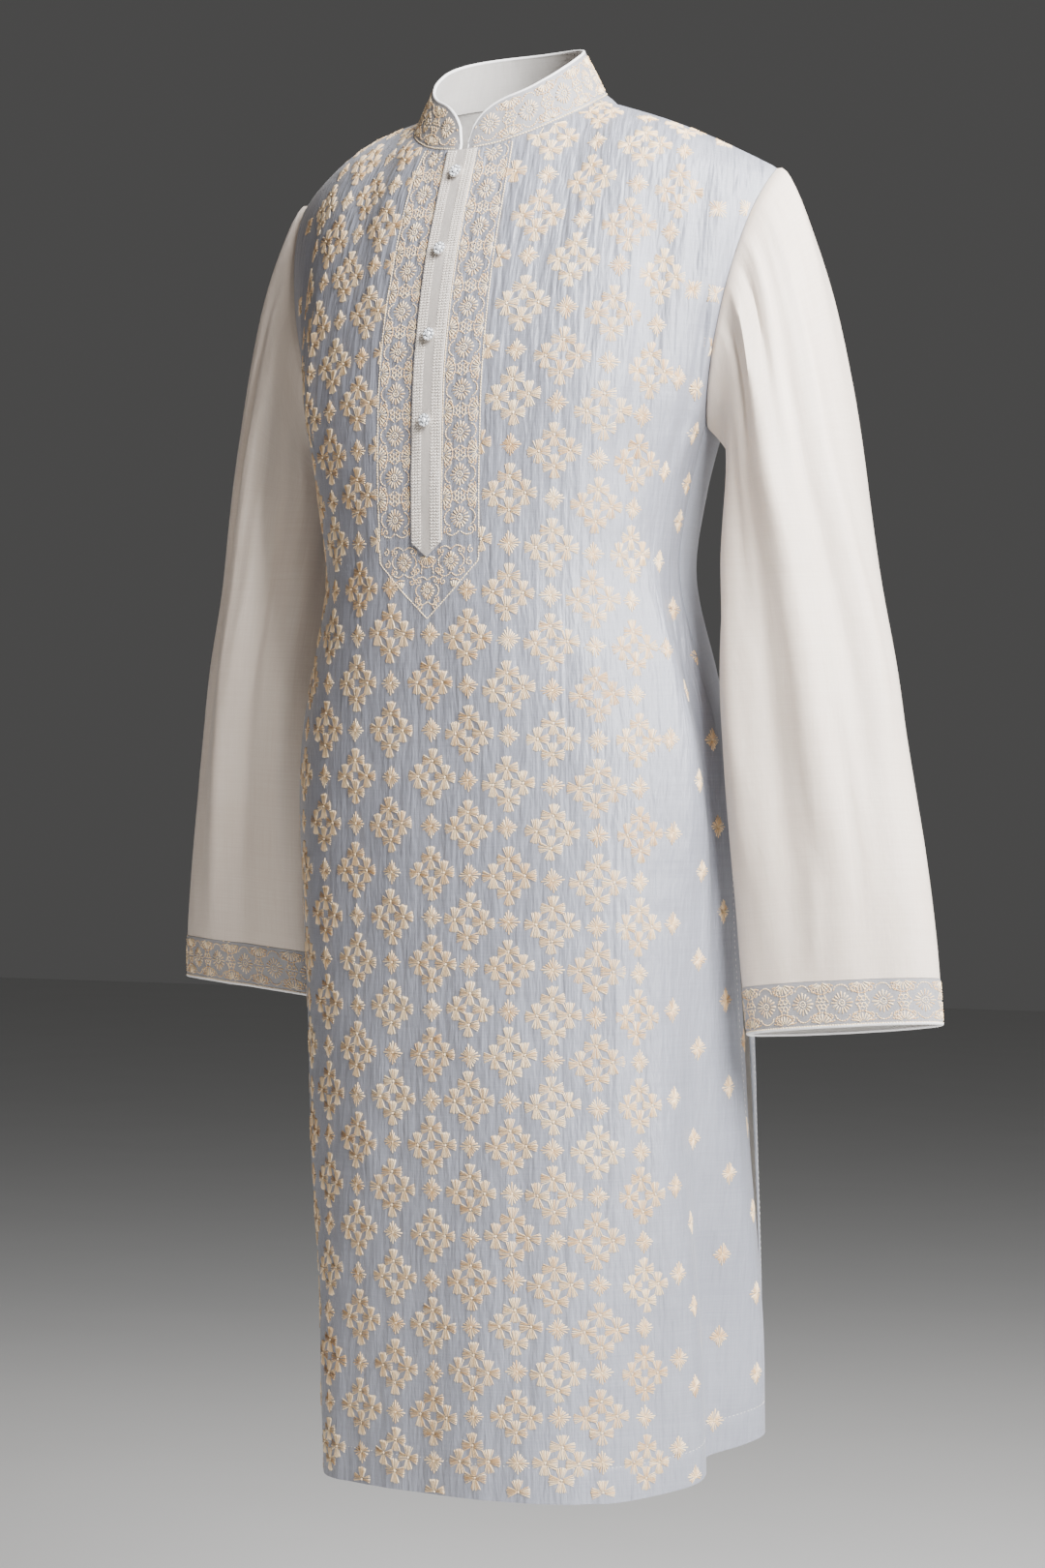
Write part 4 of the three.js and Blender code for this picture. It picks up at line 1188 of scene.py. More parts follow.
def thread_mesh(name, near, shoulders):
    """A stitch of unit length, width and height: a low ridge with blunt ends, narrower at its near end."""
    places = (-0.5, *shoulders, 0.5)
    vertices, faces = [], []
    for k, x in enumerate(places):
        half = 0.5 * mix(near, 1, x + 0.5)
        end = k in (0, len(places) - 1)
        half *= 0.72 if end else 1
        vertices += [(x, -half, -0.25), (x, half, -0.25), (x, 0, 0.1 if end else 1)]
    for k in range(len(places) - 1):
        a = 3 * k
        faces += [(a, a + 3, a + 5, a + 2), (a + 2, a + 5, a + 4, a + 1), (a + 1, a + 4, a + 3, a)]
    last = 3 * (len(places) - 1)
    faces += [(0, 2, 1), (last, last + 1, last + 2)]
    mesh = bpy.data.meshes.new(name)
    mesh.from_pydata(vertices, [], faces)
    mesh.shade_smooth()
    made = bpy.data.objects.new(name, mesh)
    bpy.context.scene.collection.objects.link(made)
    return made


def stitch_tree():
    """Nodes that set one thread on each point, along and out by the point's own directions and sizes."""
    tree = bpy.data.node_groups.new("threads on points", "GeometryNodeTree")
    for name, kind in (
        ("Points", "Geometry"),
        ("Thread", "Object"),
        ("Fullness", "Float"),
        ("Unevenness", "Float"),
        ("Seed", "Int"),
        ("Look", "Material"),
    ):
        tree.interface.new_socket(name, in_out="INPUT", socket_type=f"NodeSocket{kind}")
    tree.interface.new_socket("Stitches", in_out="OUTPUT", socket_type="NodeSocketGeometry")

    def node(kind, given, **settings):
        made = tree.nodes.new(kind)
        for name, value in settings.items():
            setattr(made, name, value)
        for socket, value in given.items():
            if isinstance(value, (int, str)):
                made.inputs[socket].default_value = value
            else:
                tree.links.new(value, made.inputs[socket])
        return made.outputs

    def attribute(name):
        return node("GeometryNodeInputNamedAttribute", {"Name": name}, data_type="FLOAT_VECTOR")["Attribute"]

    def math_node(operation, a, b):
        return node("ShaderNodeMath", {0: a, 1: b}, operation=operation)[0]

    given = node("NodeGroupInput", {})
    directions = {"Primary Axis": attribute("out"), "Secondary Axis": attribute("along")}
    turn = node("FunctionNodeAxesToRotation", directions, primary_axis="Z", secondary_axis="X")
    least = math_node("SUBTRACT", 1, given["Unevenness"])
    most = math_node("ADD", 1, given["Unevenness"])
    limits = {2: least, 3: most, "Seed": given["Seed"]}
    chance = node("FunctionNodeRandomValue", limits, data_type="FLOAT")
    full = math_node("MULTIPLY", chance[1], given["Fullness"])
    factors = node("ShaderNodeCombineXYZ", {"X": 1, "Y": full, "Z": full})
    size = node("ShaderNodeVectorMath", {0: attribute("size"), 1: factors[0]}, operation="MULTIPLY")
    thread = node("GeometryNodeObjectInfo", {"Object": given["Thread"]})
    placing = {
        "Points": given["Points"],
        "Instance": thread["Geometry"],
        "Rotation": turn["Rotation"],
        "Scale": size[0],
    }
    placed = node("GeometryNodeInstanceOnPoints", placing)
    real = node("GeometryNodeRealizeInstances", {"Geometry": placed["Instances"]})
    look = {"Geometry": real["Geometry"], "Material": given["Look"]}
    coloured = node("GeometryNodeSetMaterial", look)
    node("NodeGroupOutput", {"Stitches": coloured["Geometry"]})
    return tree


def from_nodes(name, points, tree, values):
    """The mesh that a node tree makes of some points, as a plain object."""
    mesh = bpy.data.meshes.new(name + "_points")
    mesh.from_pydata((points["place"] * MM).tolist(), [], [])
    for key in ("along", "out", "size"):
        layer = mesh.attributes.new(key, "FLOAT_VECTOR", "POINT")
        layer.data.foreach_set("vector", points[key].astype(np.float32).ravel())
    layer = mesh.attributes.new("tone", "FLOAT", "POINT")
    layer.data.foreach_set("value", points["tone"].astype(np.float32))
    source = bpy.data.objects.new(name + "_points", mesh)
    bpy.context.scene.collection.objects.link(source)
    modifier = source.modifiers.new("threads", "NODES")
    modifier.node_group = tree
    for item in tree.interface.items_tree:
        if item.in_out == "INPUT" and item.name in values:
            modifier[item.identifier] = values[item.name]
    graph = bpy.context.evaluated_depsgraph_get()
    made = bpy.data.meshes.new_from_object(source.evaluated_get(graph), depsgraph=graph)
    made.name = name
    for key in ("along", "out", "size"):
        if key in made.attributes:
            made.attributes.remove(made.attributes[key])
    piece = bpy.data.objects.new(name, made)
    bpy.context.scene.collection.objects.link(piece)
    bpy.data.objects.remove(source)
    return piece


def laid(rows, surface):
    """Points for threads, from chart rows and a surface that gives points, normals and where it is cloth."""
    start, out0, on0 = surface(rows[:, 0], rows[:, 1])
    end, out1, on1 = surface(rows[:, 2], rows[:, 3])
    kept = on0 & on1
    along = (end - start)[kept]
    length = np.linalg.norm(along, axis=-1)
    size = np.stack([length, rows[kept, 4], rows[kept, 5]], axis=-1) * MM
    return {
        "place": ((start + end) / 2)[kept],
        "along": along,
        "out": unit(out0 + out1)[kept],
        "size": size,
        "tone": rows[kept, 6],
    }


def joined(name, pieces):
    """One object from several with the same kind of mesh."""
    pieces = [piece for piece in pieces if len(piece.data.polygons)]
    with bpy.context.temp_override(active_object=pieces[0], selected_editable_objects=pieces):
        if len(pieces) > 1:
            bpy.ops.object.join()
    pieces[0].name = name
    pieces[0].data.name = name
    return pieces[0]


def embroidered(name, work, surface, look, seed):
    """The stitches of a chart as one piece laid on a surface."""
    made = []
    for kind in (FAN, EVEN):
        rows = work.rows(kind)
        if not len(rows):
            continue
        points = laid(rows, surface)
        values = {
            "Thread": THREADS[kind],
            "Fullness": 1.0,
            "Unevenness": THREAD_UNEVENNESS,
            "Seed": seed + kind,
            "Look": look,
        }
        made.append(from_nodes(f"{name}_{kind}", points, STITCH_TREE, values))
    return joined(name, made)


# Looks. Grains stretch the noise along and across the cloth
WEAVE = {"pitch": 0.0009, "height": 0.00012, "strength": 0.5}
GRAIN = {"down": (900, 22, 1), "across": (18, 800, 1)}
CRUMPLE = {"grain": (45, 22, 1), "height": 0.0016, "strength": 0.6}
WORKED = {"fine": (190, 34, 1), "wide": (95, 16, 1), "strength": 0.8}


class Look:
    """A material with its shader and a short way to add nodes."""

    def __init__(self, name, roughness, sheen=0.0, metallic=0.0):
        self.material = bpy.data.materials.new(name)
        self.material.use_nodes = True
        self.tree = self.material.node_tree
        self.shader = self.tree.nodes["Principled BSDF"]
        self.shader.inputs["Roughness"].default_value = roughness
        self.shader.inputs["Metallic"].default_value = metallic
        self.shader.inputs["Sheen Weight"].default_value = sheen
        self.shader.inputs["Sheen Roughness"].default_value = 0.4

    def node(self, kind, **inputs):
        made = self.tree.nodes.new(kind)
        for name, value in inputs.items():
            made.inputs[name.replace("_", " ")].default_value = value
        return made

    def link(self, output, socket):
        self.tree.links.new(output, socket)

    def math(self, operation, a, b=None):
        made = self.tree.nodes.new("ShaderNodeMath")
        made.operation = operation
        for socket, value in zip(made.inputs, (a, b)):
            if value is None:
                continue
            if isinstance(value, (int, float)):
                socket.default_value = value
            else:
                self.link(value, socket)
        return made.outputs[0]

    def noise(self, vector, scale, detail=2.0, stretch=(1, 1, 1)):
        place = self.node("ShaderNodeMapping")
        place.inputs["Scale"].default_value = stretch
        self.link(vector, place.inputs["Vector"])
        made = self.node("ShaderNodeTexNoise", Scale=scale, Detail=detail, Roughness=0.55)
        self.link(place.outputs["Vector"], made.inputs["Vector"])
        return made.outputs["Fac"]

    def spots(self, scale, detail):
        """Noise in the piece's own coordinates."""
        place = self.tree.nodes.new("ShaderNodeTexCoord")
        return self.noise(place.outputs["Object"], scale, detail)

    def blend(self, factor, low, high):
        made = self.tree.nodes.new("ShaderNodeMix")
        made.data_type = "RGBA"
        self.link(factor, made.inputs["Factor"])
        made.inputs["A"].default_value = (*low, 1)
        made.inputs["B"].default_value = (*high, 1)
        return made.outputs["Result"]

    def bump(self, height, distance, strength, under=None):
        made = self.node("ShaderNodeBump", Strength=strength, Distance=distance)
        self.link(height, made.inputs["Height"])
        if under is not None:
            self.link(under, made.inputs["Normal"])
        return made.outputs["Normal"]

    def coloured(self, colour):
        self.link(colour, self.shader.inputs["Base Color"])

    def shaped(self, normal):
        self.link(normal, self.shader.inputs["Normal"])


def srgb(red, green, blue):
    """A colour from its screen values, 0 to 255."""
    return tuple(((c / 255 + 0.055) / 1.055) ** 2.4 if c > 10 else c / 3294 for c in (red, green, blue))


def cloth_look(name, colour, deep, roughness=0.48, sheen=0.3, drawn=0.0, shine=1.5):
    """Fine silk and cotton cloth: a plain weave with uneven threads, and soft puckers where it is worked."""
    look = Look(name, roughness, sheen)
    look.shader.inputs["IOR"].default_value = shine
    cut = look.node("ShaderNodeUVMap")
    cut.uv_map = "cut"
    at = cut.outputs["UV"]
    slub_down = look.noise(at, 1.0, 3, GRAIN["down"])
    slub_across = look.noise(at, 1.0, 3, GRAIN["across"])
    threads = look.math("MULTIPLY", slub_down, slub_across)
    cloud = look.noise(at, 9.0, 3)
    shade = look.math("ADD", look.math("MULTIPLY", threads, 1.3), look.math("MULTIPLY", cloud, 0.5))
    look.coloured(look.blend(shade, deep, colour))
    split = look.node("ShaderNodeSeparateXYZ")
    look.link(at, split.inputs["Vector"])
    turns = 2 * math.pi / WEAVE["pitch"]
    down = look.math("SINE", look.math("MULTIPLY", split.outputs["X"], turns))
    across = look.math("SINE", look.math("MULTIPLY", split.outputs["Y"], turns))
    web = look.math("ADD", look.math("MULTIPLY", down, across), look.math("MULTIPLY", threads, 2.0))
    normal = look.bump(web, WEAVE["height"], WEAVE["strength"])
    crumple = look.noise(at, 1.0, 3, CRUMPLE["grain"])
    normal = look.bump(crumple, CRUMPLE["height"], CRUMPLE["strength"], normal)
    if drawn:
        fine = look.noise(at, 1.0, 2, WORKED["fine"])
        wide = look.noise(at, 1.0, 2, WORKED["wide"])
        normal = look.bump(look.math("ADD", fine, wide), drawn, WORKED["strength"], normal)
    look.shaped(normal)
    return look.material


def thread_look(name, pale, deep, roughness=0.42):
    """Twisted embroidery thread, from deep to pale by each stitch's own tone."""
    look = Look(name, roughness, 0.25)
    tone = look.tree.nodes.new("ShaderNodeAttribute")
    tone.attribute_name = "tone"
    speck = look.spots(900, 2)
    patches = look.math("MULTIPLY", look.math("SUBTRACT", speck, 0.5), 0.5)
    mixed = look.math("ADD", tone.outputs["Fac"], patches)
    held = look.node("ShaderNodeClamp")
    look.link(mixed, held.inputs["Value"])
    look.coloured(look.blend(held.outputs[0], deep, pale))
    look.shaped(look.bump(look.spots(2400, 1), 0.0002, 0.5))
    return look.material


def setting_look():
    """Worn silver-coloured metal."""
    look = Look("button_setting", 0.34, metallic=0.8)
    look.coloured(look.blend(look.spots(1500, 2), (0.62, 0.59, 0.55), (0.93, 0.92, 0.9)))
    look.shaped(look.bump(look.spots(3000, 2), 0.0001, 0.4))
    return look.material


def stone_look():
    """Clear cut stones over a bright foil."""
    look = Look("cut_stone", 0.1)
    look.shader.inputs["IOR"].default_value = 1.7
    look.shader.inputs["Coat Weight"].default_value = 0.6
    look.coloured(look.blend(look.spots(700, 1), (0.6, 0.63, 0.67), (0.98, 0.99, 1.0)))
    return look.material


def floor_look():
    """A pale matt floor."""
    look = Look("floor", 0.7)
    look.coloured(look.blend(look.spots(3, 3), (0.74, 0.74, 0.73), (0.78, 0.78, 0.77)))
    return look.material


# The body and back panels are the same cloth as the sleeves, painted darker and bluer than it is: these
# colours are painted cool light and shade.
BODY_SHADED_LOOK = cloth_look(
    "body_cloth", srgb(152, 154, 164), srgb(114, 116, 127), 0.36, sheen=0.15, drawn=0.002, shine=1.8
)
BACK_SHADED_LOOK = cloth_look("back_cloth", srgb(160, 163, 173), srgb(128, 131, 141), 0.36, shine=1.9)
# The sleeve cloth is its own ivory with extra warmth painted in, strongest in its deep tone: that warmth is
# painted warm shade.
SLEEVE_WARM_SHADE_LOOK = cloth_look("sleeve_cloth", srgb(238, 225, 211), srgb(214, 194, 175), 0.38)
TRIM_LOOK = cloth_look("trim_cloth", srgb(162, 160, 162), srgb(134, 132, 135))
PLACKET_LOOK = cloth_look("placket_cloth", srgb(202, 194, 186), srgb(176, 168, 160))
LINING_LOOK = cloth_look("inner_cloth", srgb(206, 202, 197), srgb(184, 179, 173))
PIPING_LOOK = cloth_look("piping_cloth", srgb(246, 244, 242), srgb(228, 225, 222))
THREAD_LOOK = thread_look("cream_thread", srgb(255, 229, 186), srgb(214, 170, 116))
WHITE_THREAD_LOOK = thread_look("white_thread", srgb(255, 248, 238), srgb(240, 226, 210))
SETTING_LOOK = setting_look()
STONE_LOOK = stone_look()

THREADS = {
    FAN: thread_mesh("fan_thread", 0.42, (-0.38, 0.4)),
    EVEN: thread_mesh("even_thread", 1.0, (0.0,)),
}
STITCH_TREE = stitch_tree()


def body_panel(panel, grid, look):
    """A body panel from hem to top edge, with the flat cut as its UV map."""
    slit_t = OPENING["half"] / float(PLACKET_WIDTH[-1])
    t = np.linspace(-1, 1, grid["across"] + 1)
    if panel == "front":
        middle = len(t) // 2
        t = np.concatenate([t[:middle], [-slit_t, slit_t], t[middle + 1 :]])
    low = np.linspace(HEM_Z, ARMPIT_Z, grid["low"] + 1)
    fine = HEM_Z + HEM_DEPTH + np.array((-2.0, -1.0, 0, 1.0, 2.0))
    low = np.concatenate([low[np.abs(low - fine[2]) > 4], fine])
    v = np.sort(np.concatenate([low, np.linspace(ARMPIT_Z, TOP_V, grid["yoke"] + 1)[1:]]))
    tt, vv = np.meshgrid(t, v, indexing="ij")
    points, normals = body_point(panel, tt, vv)
    keep = np.ones((len(t) - 1, len(v) - 1), bool)
    if panel == "front":
        keep[middle - 1, v[:-1] >= OPENING["bottom"]] = False
    flat = FLAT[panel].at(tt, vv)
    flip = panel == "back"
    return wall(f"{panel}_cloth", points, normals, CLOTH, flat, look, keep, flip), flat


def sleeve_pieces(sleeve):
    """The sleeve's tube and its cuff band."""
    cap = np.linspace(-1, 0, SLEEVE_GRID["cap"] + 1)
    low = np.linspace(0, sleeve.cuff_start, SLEEVE_GRID["low"] + 1)[1:]
    places = np.concatenate([cap, low])
    sleeve_tube = sleeve.wall(f"sleeve_cloth_{sleeve.name}", places, CLOTH, 0, SLEEVE_WARM_SHADE_LOOK)
    places = np.linspace(sleeve.cuff_start + SEAM_GAP / sleeve.length, 1, CUFF_ROWS + 1)
    band = sleeve.wall(f"cuff_cloth_{sleeve.name}", places, CUFF_CLOTH, CUFF_LIFT, TRIM_LOOK)
    return sleeve_tube, band


def collar_piece():
    """The stand collar, a strip of cloth from one front end round the back to the other."""
    s = np.linspace(-1, 1, COLLAR_GRID["round"] + 1)
    b = np.linspace(0, 1, COLLAR_GRID["up"] + 1)
    ss, bb = np.meshgrid(s, b, indexing="ij")
    points, normals = collar_point(ss, bb)
    flat = np.stack([ss * COLLAR_REACH, bb * collar_height(ss)], axis=-1)
    return wall("collar_cloth", points, normals, COLLAR_CLOTH, flat, TRIM_LOOK), flat


def placket_point(x, v):
    """A point of the placket's outer face from its distance from the middle and its height."""
    return body_point("front", x / np.interp(v, PLACKET_V, PLACKET_WIDTH), v, PLACKET_LIFT)


def placket_piece():
    """The strip over the front opening, with a pointed lower end."""
    a = np.linspace(-1, 1, PLACKET_GRID["across"] + 1)
    b = np.linspace(0, 1, PLACKET_GRID["along"] + 1)
    aa, bb = np.meshgrid(a, b, indexing="ij")
    foot = PLACKET["bottom"] + PLACKET["tip"] * np.abs(aa)
    v = mix(foot, TOP_V - PLACKET["top_drop"], bb)
    x = aa * PLACKET["half"]
    points, normals = placket_point(x, v)
    flat = np.stack([x, v], axis=-1)
    return wall("placket_cloth_strip", points, normals, PLACKET_CLOTH, flat, PLACKET_LOOK), flat


def tube(name, path, radius, look, closed=False, sides=8):
    """A round cord of cloth along a path."""
    path = np.asarray(path, float)
    count = len(path)
    if closed:
        direction = unit(np.roll(path, -1, axis=0) - np.roll(path, 1, axis=0))
    else:
        direction = unit(np.gradient(path, axis=0))
    side = unit(np.cross(direction, np.array((0, 0, 1.0)) + direction[:, ::-1] * 0.01))
    over = np.cross(side, direction)
    vertices, faces, uvs = [], [], []
    run = np.concatenate([[0], np.cumsum(np.linalg.norm(np.diff(path, axis=0), axis=1))])
    for k in range(count):
        for m in range(sides):
            a = 2 * math.pi * m / sides
            vertices.append(path[k] + radius * (math.cos(a) * side[k] + math.sin(a) * over[k]))
    for k in range(count if closed else count - 1):
        n = (k + 1) % count
        far = run[n] if n else run[-1] + radius
        for m in range(sides):
            w = (m + 1) % sides
            faces.append((k * sides + m, k * sides + w, n * sides + w, n * sides + m))
            uvs += [(m, run[k]), (m + 1, run[k]), (m + 1, far), (m, far)]
    if not closed:
        faces += [tuple(range(sides))[::-1], tuple(range((count - 1) * sides, count * sides))]
        uvs += [(0, 0)] * (2 * sides)
    return new_object(name, vertices, faces, [look], uvs)


def collar_piping():
    """The narrow cord along the collar's front ends and top edge."""
    s = np.linspace(-1, 1, 150)
    rise = np.linspace(0, 1, 5)[:-1]
    ss = np.concatenate([-np.ones(4), s, np.ones(4)])
    bb = np.concatenate([rise, np.ones(150), rise[::-1]])
    points, normals = collar_point(ss, bb)
    return tube("collar_piping", points - normals * COLLAR_CLOTH / 2, 1.25, PIPING_LOOK)


def cuff_piping(sleeve):
    """The narrow cord round the end of a cuff."""
    angles = np.linspace(0, 360, SLEEVE_GRID["round"], endpoint=False)
    points, normals = sleeve.point(angles, np.ones(len(angles)), CUFF_LIFT)
    middle = sleeve.placed(points - normals * CUFF_CLOTH / 2)
    return tube(f"cuff_piping_{sleeve.name}", middle, 1.35, PIPING_LOOK, closed=True)


# Stitched pieces
def lattice():
    """Flower groups and small stars in staggered rows over the front panel."""
    groups = {"upper": Needlework(101), "lower": Needlework(102)}
    stars = Needlework(103)
    group, small = np.array(flower_group()), np.array(star())
    narrow = np.array((NARROW, 1) * 2 + (1,) * 4)
    last = LAST_COLUMN["stars"]
    for j in LATTICE_ROWS:
        for i in range(-last, last + 1):
            x, y = lattice_place(i, j)
            odd = (i + j) % 2
            if not odd and abs(i) > LAST_COLUMN["groups"]:
                continue
            if abs(i) == BY_ARMHOLE["left_out"] and j > BY_ARMHOLE["row"]:
                continue
            work = stars if odd else groups["upper" if j >= LATTICE["change"] else "lower"]
            random = work.random
            dx, dy = random.normal(0, UNEVEN["place"], 2)
            turn = random.normal(0, UNEVEN["turn"])
            outer = abs(i) >= BY_ARMHOLE["column"]
            high = j >= BY_ARMHOLE["row"]
            if outer and high:
                turn += BY_ARMHOLE["turn"]
            scale = 1 + random.normal(0, UNEVEN["size"])
            tone = random.normal(0, UNEVEN["tone"])
            made = small if odd else group
            if abs(i) == LAST_COLUMN["groups"] or (outer and not high):
                made = made * narrow
            work.put(made, x + dx, y + dy, turn, scale, UNEVEN["thread"], tone)
    for work in (*groups.values(), stars):
        work.dropped(lambda x, y: (np.abs(x) < BAND["edge"] + 0.8) & (y > foot_of_band(x) - 1))
    return groups, stars


def bands():
    """The closely worked bands beside the placket, with their pointed foot."""
    work = Needlework(104)
    cell = border_cell()
    middle = (BAND["edge"] + BAND["inner"]) / 2
    turn, tip = flat_y(BAND["turn"]), flat_y(BAND["tip"])
    start = turn + BAND["start"]
    first = start + CELL["long"]
    beside, size = FOOT_ROSETTES["beside"]
    for side in (-1, 1):
        for k in range(BAND["cells"]):
            work.put(cell, side * middle, first + k * CELL["long"], 90, loose=NEAT)
        work.put(framed_rosette(), side * beside, start, 90, size, NEAT)
    work.put(framed_rosette(), 0, mix(turn, tip, 0.5), 90, FOOT_ROSETTES["middle"], NEAT)
    work.put(border_point(), loose=NEAT)
    placket_foot = flat_y(PLACKET["bottom"] + PLACKET["tip"])
    work.dropped(lambda x, y: (np.abs(x) < PLACKET["half"] + 0.2) & (y > placket_foot))
    work.dropped(lambda x, y: y < foot_of_band(x) - 1.2)
    return work


def collar_at(x, y):
    """A point of the collar from its chart, its normal, and whether it may carry a stitch."""
    s = x / COLLAR_REACH
    b = y / collar_height(np.clip(s, -1, 1))
    on = (np.abs(s) < COLLAR_INSIDE["end"]) & (b < COLLAR_INSIDE["top"]) & (b > COLLAR_INSIDE["seam"])
    point, normal = collar_point(np.clip(s, -1, 1), np.clip(b, 0, 1))
    return point, normal, on


def collar_work():
    """The border repeated along the collar."""
    work = Needlework(105)
    cell = border_cell()
    count = 14
    pitch = 2 * COLLAR_REACH / count
    for k in range(count):
        work.put(cell, (k + 0.5 - count / 2) * pitch, COLLAR["height"] / 2, loose=NEAT)
    return work


class CuffCloth:
    """A cuff as a flat strip: distance round it, and height above its lower edge."""

    def __init__(self, sleeve):
        self.sleeve = sleeve
        self.angles = np.linspace(0, 360, RING_MARKS)
        half_up = 1 - CUFF_HEIGHT / sleeve.length / 2
        ring, _ = sleeve.point(self.angles, np.full(RING_MARKS, half_up))
        steps = np.linalg.norm(np.diff(ring, axis=0), axis=-1)
        self.lengths = np.concatenate([[0], np.cumsum(steps)])

    def at(self, x, y):
        angle = np.interp(np.mod(x, self.lengths[-1]), self.lengths, self.angles)
        s = 1 - y / self.sleeve.length
        point, normal = self.sleeve.point(angle, s, CUFF_LIFT)
        on = (y > CUFF_INSIDE["end"]) & (y < CUFF_HEIGHT - CUFF_INSIDE["seam"])
        return self.sleeve.placed(point), self.sleeve.placed(normal), on


def cuff_work(cloth, seed):
    """The border repeated round a cuff."""
    work = Needlework(seed)
    cell = border_cell()
    length = cloth.lengths[-1]
    count = round(length / CELL["long"])
    for k in range(count):
        work.put(cell, (k + 0.5) * length / count, CUFF_HEIGHT / 2 + 0.3, loose=NEAT)
    return work


def placket_work():
    """Rows of slanting chain stitches near the placket's edges, and along its edge."""
    work = Needlework(108)
    rows = []
    for side in (-1, 1):
        for near, far in PLACKET_ROWS:
            middle = (near + far) / 2
            v = PLACKET["bottom"] + PLACKET["tip"] * middle / PLACKET["half"] + 1.5
            while v < TOP_V - 3:
                top, foot = v + PLACKET_STITCH["up"], v - PLACKET_STITCH["down"]
                for x in (near, far):
                    ends = (side * x, top, side * middle, foot)
                    rows.append(stitch(*ends, *PLACKET_STITCH["size"], PLAIN, EVEN))
                v += PLACKET_STITCH["pitch"]
    work.put(rows, loose=PLACKET_STITCH["loose"])
    return work


def placket_at(x, v):
    """A point of the placket from its chart, where every place may carry a stitch."""
    point, normal = placket_point(x, v)
    return point, normal, np.ones(x.shape, bool)


def seam_work():
    """Hand stitches along the hems and beside the side slits, given by place across and height."""
    work = Needlework(109)
    rows = []
    height = HEM_Z + HEM_DEPTH
    end, share = HEM_STITCH["end"], HEM_STITCH["share"]
    for t in np.arange(-end, end, 2 * share):
        rows.append(stitch(t, height, t + share, height, *HEM_STITCH["size"], BRIGHT, EVEN))
    for side in (-1, 1):
        for v in np.arange(HEM_Z + 2, SLIT_TOP_Z + 14, HEM_STITCH["pitch"]):
            t = side * (1 - SLIT_HEM)
            rows.append(stitch(t, v, t, v + HEM_STITCH["long"], *HEM_STITCH["size"], BRIGHT, EVEN))
    work.put(rows)
    return work


def panel_at(panel):
    """The surface of a body panel for stitches charted by place across and height."""
    def surface(t, v):
        point, normal = body_point(panel, t, v)
        return point, normal, np.ones(t.shape, bool)

    return surface


# Buttons, as shares of their radius and height
DISH_PROFILE = (
    (0.0, 0.0),
    (0.55, 0.0),
    (0.96, 0.3),
    (1.0, 0.5),
    (0.97, 0.62),
    (0.9, 0.62),
    (0.84, 0.46),
    (0.0, 0.42),
)
STONE_LEVELS = ((0.7, 0, 0), (1, 0.35, 0), (0.58, 1, 0.5))
DISH_SHARE = 0.96
HEART_STONE = {"base": 0.4, "radius": 0.42, "height": 0.55, "turn": 0.2}
RING_STONE = {"off": 0.66, "base": 0.4, "radius": 0.25, "height": 0.4}
CLAW = {"off": 0.86, "base": 0.5, "radius": 0.09, "height": 0.22}


def stone(cx, cy, base, radius, height, turn):
    """A cut stone: a wide girdle, a flat table and a narrower foot."""
    sides = 8
    vertices, faces = [], []
    for share, up, shift in STONE_LEVELS:
        for k in range(sides):
            a = 2 * math.pi * (k + shift) / sides + turn
            x, y = cx + radius * share * math.cos(a), cy + radius * share * math.sin(a)
            vertices.append((x, y, base + up * height))
    for level in (0, 1):
        for k in range(sides):
            n = (k + 1) % sides
            a, b = level * sides + k, level * sides + n
            c, d = (level + 1) * sides + n, (level + 1) * sides + k
            faces += [(a, b, d), (b, c, d)]
    faces += [tuple(range(sides))[::-1], tuple(range(2 * sides, 3 * sides))]
    return vertices, faces


def dish(radius, height, sides=28):
    """The metal setting of a button: a turned dish with a rolled rim."""
    vertices = [(0, 0, 0)]
    for across, up in DISH_PROFILE[1:-1]:
        for k in range(sides):
            a = 2 * math.pi * k / sides
            vertices.append((across * radius * math.cos(a), across * radius * math.sin(a), up * height))
    vertices.append((0, 0, DISH_PROFILE[-1][1] * height))
    faces = []
    last = len(vertices) - 1
    rings = len(DISH_PROFILE) - 2
    for k in range(sides):
        n = (k + 1) % sides
        faces.append((0, 1 + n, 1 + k))
        for r in range(rings - 1):
            a, b = 1 + r * sides + k, 1 + r * sides + n
            faces.append((a, b, b + sides, a + sides))
        faces.append((1 + (rings - 1) * sides + k, 1 + (rings - 1) * sides + n, last))
    return vertices, faces


def button(index, drop):
    """A round button: small cut stones round a larger one in a metal dish, on the placket."""
    radius, height = BUTTONS["radius"], BUTTONS["height"]

    def cut(form, off, angle, turn):
        cx, cy = radius * off * math.cos(angle), radius * off * math.sin(angle)
        return stone(cx, cy, height * form["base"], radius * form["radius"], height * form["height"], turn)

    parts = [(dish(radius * DISH_SHARE, height), 0), (cut(HEART_STONE, 0, 0, HEART_STONE["turn"]), 1)]
    around = 8
    for k in range(around):
        a = 2 * math.pi * k / around
        parts.append((cut(RING_STONE, RING_STONE["off"], a, a), 1))
        b = a + math.pi / around
        parts.append((cut(CLAW, CLAW["off"], b, b), 0))
    vertices, faces, looks = [], [], []
    for (part_vertices, part_faces), look in parts:
        first = len(vertices)
        vertices += part_vertices
        faces += [tuple(first + p for p in face) for face in part_faces]
        looks += [look] * len(part_faces)
    v = TOP_V - drop
    point, normal = body_point("front", np.zeros(1), np.full(1, v), PLACKET_LIFT + SEAM_GAP)
    turn = np.array(Vector(normal[0]).to_track_quat("Z", "Y").to_matrix())
    placed = np.array(vertices) @ turn.T + point[0]
    made = new_object(f"button_piece_{index}", placed, faces, [SETTING_LOOK, STONE_LOOK], looks=looks)
    made.data.polygons.foreach_set("use_smooth", [look == 0 for look in looks])
    made.data.update()
    return made
